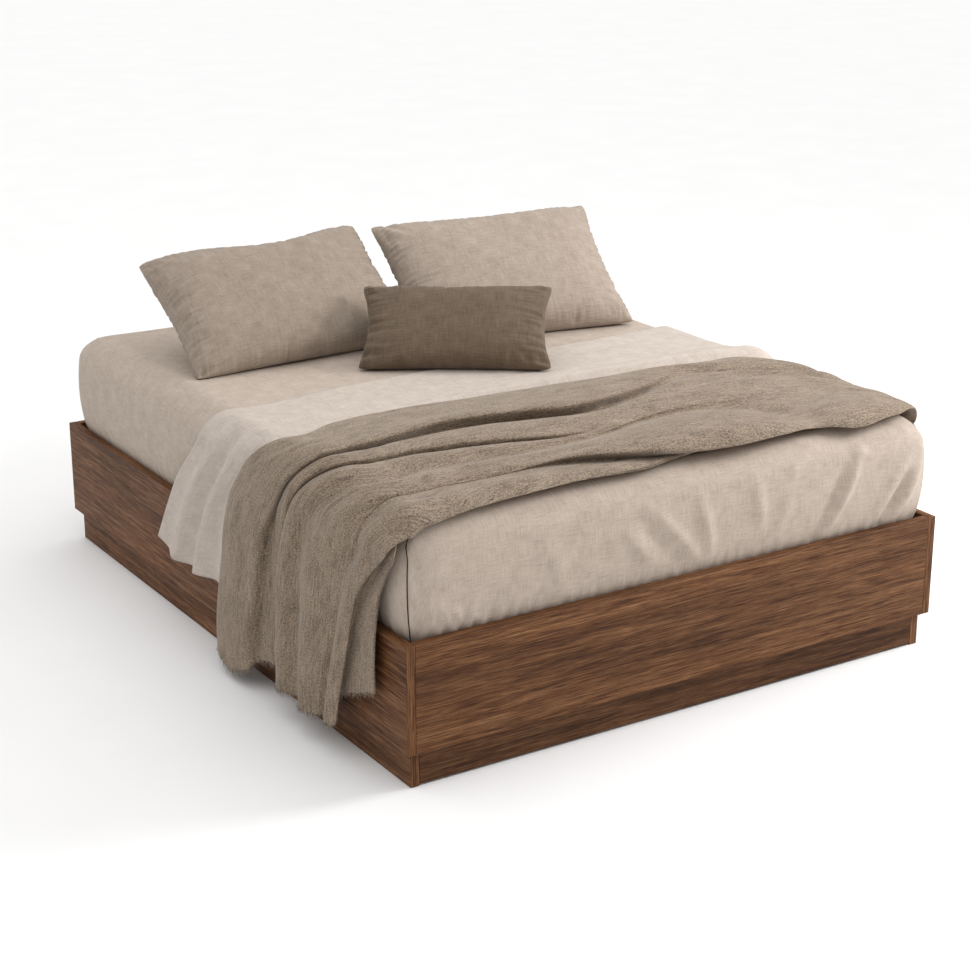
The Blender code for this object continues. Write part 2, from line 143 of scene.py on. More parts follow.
class Nodes:
    """A short way to build a node material."""

    def __init__(self, name):
        self.material = bpy.data.materials.new(name)
        self.material.use_nodes = True
        self.tree = self.material.node_tree
        self.shader = self.tree.nodes["Principled BSDF"]

    def add(self, kind, **settings):
        node = self.tree.nodes.new(kind)
        for key, value in settings.items():
            setattr(node, key, value)
        return node

    def link(self, start, end):
        self.tree.links.new(start, end)

    def value(self, socket, content):
        if isinstance(content, bpy.types.NodeSocket):
            self.link(content, socket)
        else:
            socket.default_value = content

    def coordinates(self, kind, scale=(1, 1, 1), at=(0, 0, 0)):
        """Texture coordinates of that kind, stretched so that one unit spans 1 / scale metres."""
        source = self.add("ShaderNodeTexCoord")
        mapping = self.add("ShaderNodeMapping")
        mapping.inputs["Scale"].default_value = scale
        mapping.inputs["Location"].default_value = at
        self.link(source.outputs[kind], mapping.inputs["Vector"])
        return mapping.outputs["Vector"]

    def noise(self, vector, scale=1.0, detail=4.0, rough=0.5, distortion=0.0):
        node = self.add("ShaderNodeTexNoise")
        self.link(vector, node.inputs["Vector"])
        node.inputs["Scale"].default_value = scale
        node.inputs["Detail"].default_value = detail
        node.inputs["Roughness"].default_value = rough
        node.inputs["Distortion"].default_value = distortion
        return node.outputs["Fac"]

    def ramp(self, fac, stops):
        node = self.add("ShaderNodeValToRGB")
        self.link(fac, node.inputs["Fac"])
        ramp = node.color_ramp
        while len(ramp.elements) < len(stops):
            ramp.elements.new(0.5)
        for element, (place, colour) in zip(ramp.elements, stops):
            element.position = place
            element.color = (*colour, 1) if len(colour) == 3 else colour
        return node.outputs["Color"]

    def range(self, value, low, high, to_low=0.0, to_high=1.0):
        node = self.add("ShaderNodeMapRange")
        self.link(value, node.inputs["Value"])
        node.inputs["From Min"].default_value = low
        node.inputs["From Max"].default_value = high
        node.inputs["To Min"].default_value = to_low
        node.inputs["To Max"].default_value = to_high
        return node.outputs["Result"]

    def mix(self, fac, a, b, blend="MIX"):
        node = self.add("ShaderNodeMix", data_type="RGBA", blend_type=blend)
        self.value(node.inputs["Factor"], fac)
        for socket, content in ((node.inputs[6], a), (node.inputs[7], b)):
            if isinstance(content, tuple) and len(content) == 3:
                content = (*content, 1)
            self.value(socket, content)
        return node.outputs[2]

    def math(self, operation, a, b=0.0):
        node = self.add("ShaderNodeMath", operation=operation)
        self.value(node.inputs[0], a)
        self.value(node.inputs[1], b)
        return node.outputs[0]

    def blend(self, *parts):
        """The sum of (socket, share) pairs, each socket times its share."""
        total = None
        for socket, share in parts:
            part = self.math("MULTIPLY", socket, share)
            total = part if total is None else self.math("ADD", total, part)
        return total

    def bump(self, height, strength, distance):
        node = self.add("ShaderNodeBump")
        node.inputs["Strength"].default_value = strength
        node.inputs["Distance"].default_value = distance
        self.link(height, node.inputs["Height"])
        self.link(node.outputs["Normal"], self.shader.inputs["Normal"])

    def set(self, **values):
        for name, value in values.items():
            self.value(self.shader.inputs[name.replace("_", " ").title()], value)


def grain(m, along, seed):
    """(streaks, pores, tone) of wood whose grain runs along an axis: 0 for X, 1 for Y, 2 for Z."""
    def stretched(across, length, shift=0.0):
        scale = [across] * 3
        scale[along] = length
        return m.coordinates("Object", tuple(scale), at=(shift + seed, shift, 2 * shift))

    tone = m.noise(stretched(9.0, 0.8), 1.0, 4.0, 0.55, 0.8)
    broad = m.noise(stretched(52.0, 2.2, 3.0), 1.0, 5.0, 0.66, 1.0)
    narrow = m.noise(stretched(380.0, 9.0, 5.0), 1.0, 5.0, 0.7, 0.4)
    streaks = m.blend((broad, 0.40), (narrow, 0.60))
    pores = m.noise(stretched(700.0, 16.0, 7.0), 1.0, 3.0, 0.6, 0.2)
    return streaks, pores, tone


def walnut(name, along, end_grain_axis=None, seed=0, painted_shade_factor=1.0):
    """Satin walnut veneer. On faces square to end_grain_axis the veneer's grain stands upright. The last
    argument, when below 1, darkens every colour of the figure as painted shade.
    """
    m = Nodes(name)
    layers = grain(m, along, seed)
    if end_grain_axis is not None:
        normal = m.add("ShaderNodeSeparateXYZ")
        m.link(m.add("ShaderNodeNewGeometry").outputs["True Normal"], normal.inputs[0])
        on_end = m.math("GREATER_THAN", m.math("ABSOLUTE", normal.outputs[end_grain_axis]), 0.7)
        upright = grain(m, 2, seed + 1)
        layers = [m.mix(on_end, a, b) for a, b in zip(layers, upright)]
    streaks, pores, tone = layers
    figure = m.ramp(
        streaks,
        [
            (0.38, (0.044 * painted_shade_factor, 0.0155 * painted_shade_factor, 0.0058 * painted_shade_factor)),
            (0.47, (0.122 * painted_shade_factor, 0.0500 * painted_shade_factor, 0.0195 * painted_shade_factor)),
            (0.53, (0.188 * painted_shade_factor, 0.0850 * painted_shade_factor, 0.0350 * painted_shade_factor)),
            (0.64, (0.320 * painted_shade_factor, 0.1640 * painted_shade_factor, 0.0780 * painted_shade_factor)),
        ],
    )
    shade = m.ramp(tone, [(0.33, (0.63, 0.60, 0.57)), (0.67, (1.07, 1.05, 1.03))])
    colour = m.mix(1.0, figure, shade, "MULTIPLY")
    pore = m.range(pores, 0.40, 0.48)
    colour = m.mix(pore, m.mix(1.0, colour, (0.50, 0.44, 0.40), "MULTIPLY"), colour)
    m.set(base_color=colour, roughness=m.range(streaks, 0.3, 0.7, 0.62, 0.48))
    m.shader.inputs["Specular IOR Level"].default_value = 0.16
    m.bump(m.math("ADD", pore, m.math("MULTIPLY", streaks, 0.6)), 0.3, 0.0006)
    return m.material


def plywood(name, along):
    """Pale birch laminate with a fine grain."""
    m = Nodes(name)
    streaks, pores, tone = grain(m, along, 3)
    colour = m.ramp(streaks, [(0.3, (0.47, 0.33, 0.19)), (0.7, (0.64, 0.49, 0.32))])
    shade = m.ramp(tone, [(0.3, (0.85, 0.84, 0.82)), (0.7, (1.05, 1.04, 1.03))])
    m.set(base_color=m.mix(1.0, colour, shade, "MULTIPLY"), roughness=m.range(pores, 0.3, 0.7, 0.6, 0.5))
    m.bump(pores, 0.15, 0.0004)
    return m.material


def zinc_steel():
    m = Nodes("zinc_steel")
    vector = m.coordinates("Object", (60, 60, 60))
    blotch = m.noise(vector, 1.0, 5.0, 0.6)
    m.set(base_color=m.ramp(blotch, [(0.3, (0.42, 0.43, 0.45)), (0.7, (0.60, 0.60, 0.60))]))
    m.set(roughness=m.range(blotch, 0.3, 0.7, 0.45, 0.28))
    m.shader.inputs["Metallic"].default_value = 1.0
    m.bump(m.noise(vector, 12.0, 2.0), 0.1, 0.0003)
    return m.material


def black_plastic():
    m = Nodes("black_plastic")
    vector = m.coordinates("Object", (900, 900, 900))
    fine = m.noise(vector, 1.0, 3.0)
    m.set(base_color=m.ramp(fine, [(0.3, (0.018, 0.018, 0.019)), (0.7, (0.034, 0.034, 0.035))]))
    m.set(roughness=m.range(fine, 0.3, 0.7, 0.5, 0.7))
    m.bump(fine, 0.3, 0.0002)
    return m.material


def woven(name, dark, light, kind="UV", thread=420.0):
    """Plain-woven cloth: slubby threads both ways over soft blotches of colour.

    thread is how many threads run to the metre.
    """
    m = Nodes(name)
    contrast = 0.82
    warp = m.noise(m.coordinates(kind, (thread, thread * 0.05, thread * 0.2)), 1.0, 3.0, 0.6)
    weft = m.noise(m.coordinates(kind, (thread * 0.05, thread, thread * 0.2)), 1.0, 3.0, 0.6)
    fine = m.noise(m.coordinates(kind, (thread * 1.6,) * 3), 1.0, 2.0, 0.5)
    patch = m.noise(m.coordinates(kind, (22.0,) * 3), 1.0, 5.0, 0.6)
    threads = m.blend((warp, 0.5), (weft, 0.5))
    threads = m.blend((threads, 0.7), (fine, 0.3))
    mixed = m.blend((threads, contrast), (patch, 1 - contrast))
    m.set(base_color=m.ramp(mixed, [(0.38, dark), (0.62, light)]))
    m.set(roughness=m.range(patch, 0.3, 0.7, 0.95, 0.82))
    m.shader.inputs["Specular IOR Level"].default_value = 0.20
    m.shader.inputs["Sheen Weight"].default_value = 0.10
    m.shader.inputs["Sheen Roughness"].default_value = 0.45
    m.bump(threads, 0.7, 0.0005)
    return m.material


def woolly(name, dark, light):
    """A thick loose weave of mixed light and dark yarns, streaky along the cloth, with a short nap."""
    m = Nodes(name)
    yarn = m.noise(m.coordinates("Object", (170, 320, 320)), 1.0, 3.0, 0.65)
    nubs = m.noise(m.coordinates("Object", (420, 420, 420)), 1.0, 3.0, 0.65)
    streak = m.noise(m.coordinates("UV", (22, 200, 50)), 1.0, 3.0, 0.6)
    patch = m.noise(m.coordinates("UV", (9, 16, 14)), 1.0, 4.0, 0.6)
    mixed = m.blend((yarn, 0.38), (nubs, 0.30), (streak, 0.20), (patch, 0.12))
    m.set(base_color=m.ramp(mixed, [(0.39, dark), (0.61, light)]))
    m.set(roughness=m.range(patch, 0.3, 0.7, 0.98, 0.88))
    m.shader.inputs["Specular IOR Level"].default_value = 0.12
    m.shader.inputs["Sheen Weight"].default_value = 0.30
    m.shader.inputs["Sheen Roughness"].default_value = 0.35
    m.shader.inputs["Sheen Tint"].default_value = (1.0, 0.93, 0.86, 1)
    m.bump(m.math("ADD", yarn, nubs), 0.7, 0.0011)
    return m.material


WALNUT_ALONG_Y = walnut("walnut_side_boards", 1, end_grain_axis=1)
WALNUT_ALONG_X = walnut("walnut_end_boards", 0, seed=2)
# The end plinths: the same walnut darkened to 0.80, which is painted shade
WALNUT_PLINTH_PAINTED_SHADE = walnut("walnut_end_plinths_painted_shade", 0, seed=4, painted_shade_factor=0.80)
BIRCH_ALONG_X, BIRCH_ALONG_Y = plywood("birch_along_x", 0), plywood("birch_along_y", 1)
BIRCH_UPRIGHT = plywood("birch_upright", 2)
STEEL, PLASTIC = zinc_steel(), black_plastic()
WEBBING = woven("webbing", (0.55, 0.53, 0.49), (0.75, 0.73, 0.69), "Object", 700.0)
TICKING = woven("mattress_ticking", (0.70, 0.69, 0.66), (0.84, 0.83, 0.80))
LINEN = woven("linen_sheet", (0.345, 0.280, 0.228), (0.575, 0.488, 0.414))
LIGHT_LINEN = woven("light_linen", (0.390, 0.332, 0.284), (0.630, 0.556, 0.494))
PILLOW_LINEN = woven("pillow_linen", (0.220, 0.174, 0.136), (0.420, 0.348, 0.284))
# A lighter copy of the pillow linen for the right pillow: painted light
PILLOW_LINEN_PAINTED_LIGHT = woven("pillow_linen_painted_light", (0.260, 0.208, 0.166), (0.480, 0.400, 0.334))
DARK_LINEN = woven("dark_linen", (0.092, 0.064, 0.042), (0.200, 0.150, 0.108))
SEAM = woven("seam_thread", (0.020, 0.014, 0.010), (0.060, 0.045, 0.034))
WOOL = woolly("wool_throw", (0.055, 0.038, 0.026), (0.435, 0.345, 0.262))


def dress_frame():
    """Gives each hard CAD piece its material."""
    for name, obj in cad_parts.items():
        if name.startswith(("side_rail", "plinth_left", "plinth_right")):
            look = WALNUT_ALONG_Y
        elif name in ("foot_rail", "head_rail"):
            look = WALNUT_ALONG_X
        elif name in ("plinth_foot", "plinth_head"):
            look = WALNUT_PLINTH_PAINTED_SHADE
        elif name.startswith("slat_tape"):
            look = WEBBING
        elif name.startswith(("ledger", "centre_beam", "base_cleat_left", "base_cleat_right")):
            look = BIRCH_ALONG_Y
        elif name.startswith("centre_leg"):
            look = BIRCH_UPRIGHT
        elif name.startswith(("slat", "plinth_rib", "base_cleat")):
            look = BIRCH_ALONG_X
        elif name.startswith(("corner_", "beam_hanger")):
            look = STEEL
        elif name.startswith("levelling_foot"):
            look = PLASTIC
        else:
            continue
        for slot in obj.material_slots:
            slot.material = look


# The mattress and the fitted sheet

def bulge(z):
    """How far the sides swell at a height: fullest just below the middle."""
    share = np.clip((z - RAIL_TOP + 0.02) / (BED_TOP - RAIL_TOP + 0.02), 0, 1)
    return 0.028 * np.sin(math.pi * share**0.9) ** 0.7


def box_surface(half, top, bottom, spacing):
    """(points, faces) of a box's top and four sides in even grids, joined along its edges."""
    nx, ny, nz = (max(2, round(v / spacing)) for v in (2 * half[0], 2 * half[1], top - bottom))
    xs, ys = np.linspace(-half[0], half[0], nx + 1), np.linspace(-half[1], half[1], ny + 1)
    zs = np.linspace(top, bottom, nz + 1)
    points, faces = [], []

    def patch(grid):
        start = len(points)
        points.extend(grid.reshape(-1, 3))
        quads = grid_faces(*grid.shape[:2]) + start
        faces.extend((quads if start == 0 else quads[:, ::-1]).tolist())

    X, Y = np.meshgrid(xs, ys)
    patch(np.stack([X, Y, np.full_like(X, top)], axis=2))
    for axis, sign in ((0, 1), (0, -1), (1, 1), (1, -1)):
        line = (ys if axis == 0 else xs) * (sign if axis == 0 else -sign)
        A, Z = np.meshgrid(line, zs)
        wall = np.full_like(A, sign * half[axis])
        patch(np.stack([wall, A, Z] if axis == 0 else [A, wall, Z], axis=2))
    joined, index = np.unique(np.round(np.array(points), 5), axis=0, return_inverse=True)
    index = index.reshape(-1)
    return joined, [[int(index[i]) for i in face] for face in faces]


def rounded_box(bottom, spacing, grow=0.0):
    """(points, normals, faces, cloth coordinates) of the mattress' top and sides, down to a height."""
    half = np.array([SIDE - SWELL_ROOM + grow, END - SWELL_ROOM + grow])
    top = BED_TOP + grow
    points, faces = box_surface(half, top, bottom, spacing)

    # Pull the corners round, then swell the sides.
    radius = EDGE_RADIUS
    core = points.copy()
    core[:, 0] = np.clip(points[:, 0], -half[0] + radius, half[0] - radius)
    core[:, 1] = np.clip(points[:, 1], -half[1] + radius, half[1] - radius)
    core[:, 2] = np.minimum(points[:, 2], top - radius)
    away = points - core
    normals = away / np.maximum(np.linalg.norm(away, axis=1, keepdims=True), 1e-9)
    level = np.linalg.norm(normals[:, :2], axis=1)
    boxy = (np.maximum(level, 1e-6) / np.maximum(np.abs(normals[:, :2]).max(axis=1), 1e-6)) ** 0.55
    offset = normals * radius
    offset[:, :2] *= boxy[:, None]
    placed = core + offset
    swell = bulge(placed[:, 2])[:, None] * normals
    swell[:, 2] = 0
    drop = np.maximum(0, top - points[:, 2])
    flat = points[:, :2] + normals[:, :2] * drop[:, None]
    return placed + swell, normals, faces, flat


def crease(spots, start, end, width, height):
    """A soft ridge (or valley, if height is negative) along a line from start to end, fading at both."""
    a, b = np.array(start, float), np.array(end, float)
    along = np.clip(((spots - a) @ (b - a)) / ((b - a) @ (b - a)), 0, 1)
    distance = np.linalg.norm(spots - (a + along[:, None] * (b - a)), axis=1)
    return height * np.exp(-((distance / width) ** 2)) * np.sin(math.pi * np.clip(along, 0.06, 0.94)) ** 0.6


# Creases on the foot end of the cover: (x, z) of the two ends, width and height
FOOT_CREASES = (
    # long soft folds near the right corner
    ((0.57, 0.61), (0.45, 0.40), 0.018, 0.0155),
    ((0.53, 0.60), (0.42, 0.40), 0.018, -0.0093),
    ((0.76, 0.55), (0.65, 0.39), 0.014, -0.0124),
    ((0.79, 0.56), (0.69, 0.39), 0.018, 0.0124),
    ((0.71, 0.54), (0.60, 0.39), 0.020, 0.0093),
    # slanting creases in the middle
    ((0.03, 0.59), (0.07, 0.42), 0.018, 0.0093),
    ((-0.12, 0.58), (0.04, 0.41), 0.017, 0.0093),
    ((-0.17, 0.57), (-0.02, 0.40), 0.015, -0.0062),
    ((-0.20, 0.53), (-0.12, 0.44), 0.018, 0.0078),
    ((0.21, 0.60), (0.23, 0.46), 0.020, 0.0078),
    ((0.34, 0.58), (0.28, 0.44), 0.022, 0.0062),
    ((-0.45, 0.58), (-0.38, 0.42), 0.024, 0.0047),
    # short puckers rising from the rail at the left corner
    ((-0.78, 0.50), (-0.745, 0.39), 0.009, 0.0078),
    ((-0.74, 0.46), (-0.70, 0.39), 0.009, 0.0078),
    ((-0.70, 0.44), (-0.665, 0.39), 0.009, 0.0062),
    ((-0.65, 0.43), (-0.625, 0.39), 0.009, 0.0062),
)


def fitted_sheet():
    """The linen cover: taut on top, creased at the corners, and puckered where it is tucked in."""
    spacing = 0.008
    points, normals, faces, flat = rounded_box(RAIL_TOP - 0.022, spacing)
    x, y, z = points.T
    relief = 0.0022 * wander(points, 0.30, 1) + 0.0010 * wander(points * (1, 1, 0.5), 0.09, 2)
    on_side = smooth(0.3, 0.9, np.abs(normals[:, 0])) + smooth(0.3, 0.9, np.abs(normals[:, 1]))

    # Small tucks just above the rails, deepest beside the foot's left corner.
    low = np.exp(-(((z - RAIL_TOP) / 0.035) ** 2))
    along = np.where(np.abs(normals[:, 1]) > np.abs(normals[:, 0]), x, y)
    tucks = np.sin(along * 150 + 5 * wander(points * (1, 1, 0), 0.12, 3))
    near_corner = np.exp(-(((x + 0.66) / 0.12) ** 2)) * (y < 0)
    relief += on_side * low * tucks * (0.0012 + 0.0022 * near_corner)

    on_foot = smooth(0.15, 0.6, -normals[:, 1])
    for start, end, width, height in FOOT_CREASES:
        relief += on_foot * crease(points[:, [0, 2]], start, end, width, height)
    points = points + normals * relief[:, None]
    cover = mesh_object("linen_cover", points, faces, flat)
    cover.data.materials.append(LINEN)
    thicken(cover, 0.0012).modifiers["cloth"].offset = -1
    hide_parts("fitted_sheet")
    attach(cover, "bedding")
    seams = corner_seams(points, normals)
    # Cut for the top, 1.60 x 2.00 m, and 0.30 m of each side, less a square of that depth at each corner
    return cover


# How far round from the middle of each corner its seam sits, at the foot (-1) and at the head (1)
SEAM_TURN = {-1: 0.12, 1: -0.20}


def corner_seams(points, normals):
    """The dark stitched line down each corner of the cover, found on the cover itself."""
    made, faces = [], []
    for sx in (-1, 1):
        for sy in (-1, 1):
            corner = (np.sign(points[:, 0]) == sx) & (np.sign(points[:, 1]) == sy)
            near = corner & (np.linalg.norm(normals[:, :2], axis=1) > 0.5)
            spots, facing = points[near], normals[near]
            away = np.abs(np.abs(facing[:, 0]) - np.abs(facing[:, 1]) - SEAM_TURN[sy])
            levels = np.linspace(spots[:, 2].max(), spots[:, 2].min(), 13)
            chosen = [np.argmin(away + 12 * np.abs(spots[:, 2] - level)) for level in levels]
            line, outward = spots[chosen], facing[chosen]
            steps = np.linspace(0, len(line) - 1, 60)
            path, out = (along_line(row, np.arange(len(line)), steps) for row in (line, outward))
            aside = np.array([-sy * 1.0, sx * 1.0, 0.0]) / math.sqrt(2)
            start = len(made)
            for p, n in zip(path, out):
                for spoke in range(6):
                    angle = spoke * math.pi / 3
                    made.append(p + n * 0.0012 + 0.0016 * (math.cos(angle) * aside + math.sin(angle) * n))
            # The seventh column of the grid is the first again, which closes the tube.
            for quad in grid_faces(len(path), 7).tolist():
                faces.append([start + (v // 7) * 6 + v % 7 % 6 for v in quad])
    seams = mesh_object("cover_seams", made, faces, [(p[2], p[0]) for p in made])
    seams.data.materials.append(SEAM)
    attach(seams, "bedding")
    return seams


def mattress():
    """The mattress under the cover, drawn in a little at its closed underside."""
    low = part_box("mattress")[0].z
    spacing = 0.02
    points, _, faces, flat = rounded_box(low + 0.030, spacing, -0.014)
    body = mesh_object("mattress_body", points, faces, flat)
    mesh = bmesh.new()
    mesh.from_mesh(body.data)
    rim = [e for e in mesh.edges if e.is_boundary]
    made = bmesh.ops.extrude_edge_only(mesh, edges=rim)["geom"]
    for vert in (g for g in made if isinstance(g, bmesh.types.BMVert)):
        vert.co = (vert.co.x * 0.975, vert.co.y * 0.98, low + 0.001)
    bmesh.ops.holes_fill(mesh, edges=[e for e in mesh.edges if e.is_boundary])
    bmesh.ops.recalc_face_normals(mesh, faces=mesh.faces)
    mesh.to_mesh(body.data)
    mesh.free()
    body.data.materials.append(TICKING)
    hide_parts("mattress")
    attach(body, "bedding")
    return body


# Cloth laid across the bed: unrolled across the bed, "over" runs from the left hem to the right one

FLAT_HALF = SIDE - EDGE_RADIUS
FLARE = 0.03


def reach_of(z):
    """How far over the bed's middle a hem is, unrolled, when it hangs down to z."""
    return FLAT_HALF + EDGE_RADIUS * math.pi / 2 + BED_TOP - EDGE_RADIUS - z


def across(over, lift):
    """(x, z, outward x, outward z) at an unrolled distance from the bed's middle, lift off the cover."""
    sign, far = np.sign(over), np.abs(over)
    radius = EDGE_RADIUS + lift
    arc = radius * math.pi / 2
    angle = np.clip((far - FLAT_HALF) / radius, 0, math.pi / 2)
    drop = np.maximum(0, far - FLAT_HALF - arc)
    x = sign * (np.minimum(far, FLAT_HALF) + radius * np.sin(angle) + FLARE * drop)
    z = BED_TOP - EDGE_RADIUS + radius * np.cos(angle) - drop
    return x, z, sign * np.sin(angle), np.cos(angle)


def laid_cloth(folds, lift, steps_over, steps_between, hem_left, hem_right, wrinkle, fray=0.0):
    """A cloth through fold lines, each a list of (over, y, height off the bed), from head to foot edge.

    hem_left and hem_right are the heights above the floor where each fold line ends.
    """
    last = len(folds) - 1
    place = np.linspace(0, last, last * steps_between + 1)
    lines = np.arange(last + 1)
    left = -reach_of(spline(lines, hem_left, place))
    right = reach_of(spline(lines, hem_right, place))
    if fray:
        rough = np.array([noise.noise(Vector((v * 9.0, 0.3, 5.1))) for v in place])
        left = left - fray * rough
    over = left + np.linspace(0, 1, steps_over + 1)[:, None] * (right - left)
    y, height = np.empty_like(over), np.empty_like(over)
    tables = [np.array(line).T for line in folds]
    for column, at in enumerate(place):
        values = [spline(t[0], t[1:].T, over[:, column]) for t in tables]
        found = spline(lines, np.array(values), np.full(1, at))[0]
        y[:, column], height[:, column] = found.T
    steps = np.hypot(np.diff(y), np.diff(height))
    run = np.concatenate([np.zeros((len(over), 1)), np.cumsum(steps, axis=1)], axis=1)
    spots = np.stack([over * 0.16, run, 0 * run], axis=2).reshape(-1, 3)
    small = wander(spots, 0.022, 4) * 0.6 + wander(spots, 0.045, 5)
    ridges = 0.35 - np.abs(wander(spots * (1.6, 1, 1), 0.028, 6))
    bunched = np.exp(-(((over + 0.86) / 0.22) ** 2)).ravel()
    height = height + wrinkle * (small + 2.2 * bunched * ridges).reshape(over.shape)
    height = np.maximum(height, 0.0004)
    x, z, out_x, out_z = across(over, lift)
    x, z = x + out_x * height, z + out_z * height
    past_end = np.clip(np.abs(y) - (END - EDGE_RADIUS), 0, EDGE_RADIUS * 0.98)
    z = z - out_z * (EDGE_RADIUS - np.sqrt(EDGE_RADIUS**2 - past_end**2))
    points = np.stack([x, y, z], axis=2)
    faces = grid_faces(*over.shape)[:, ::-1]
    return points, faces, np.stack([over, run], axis=2)


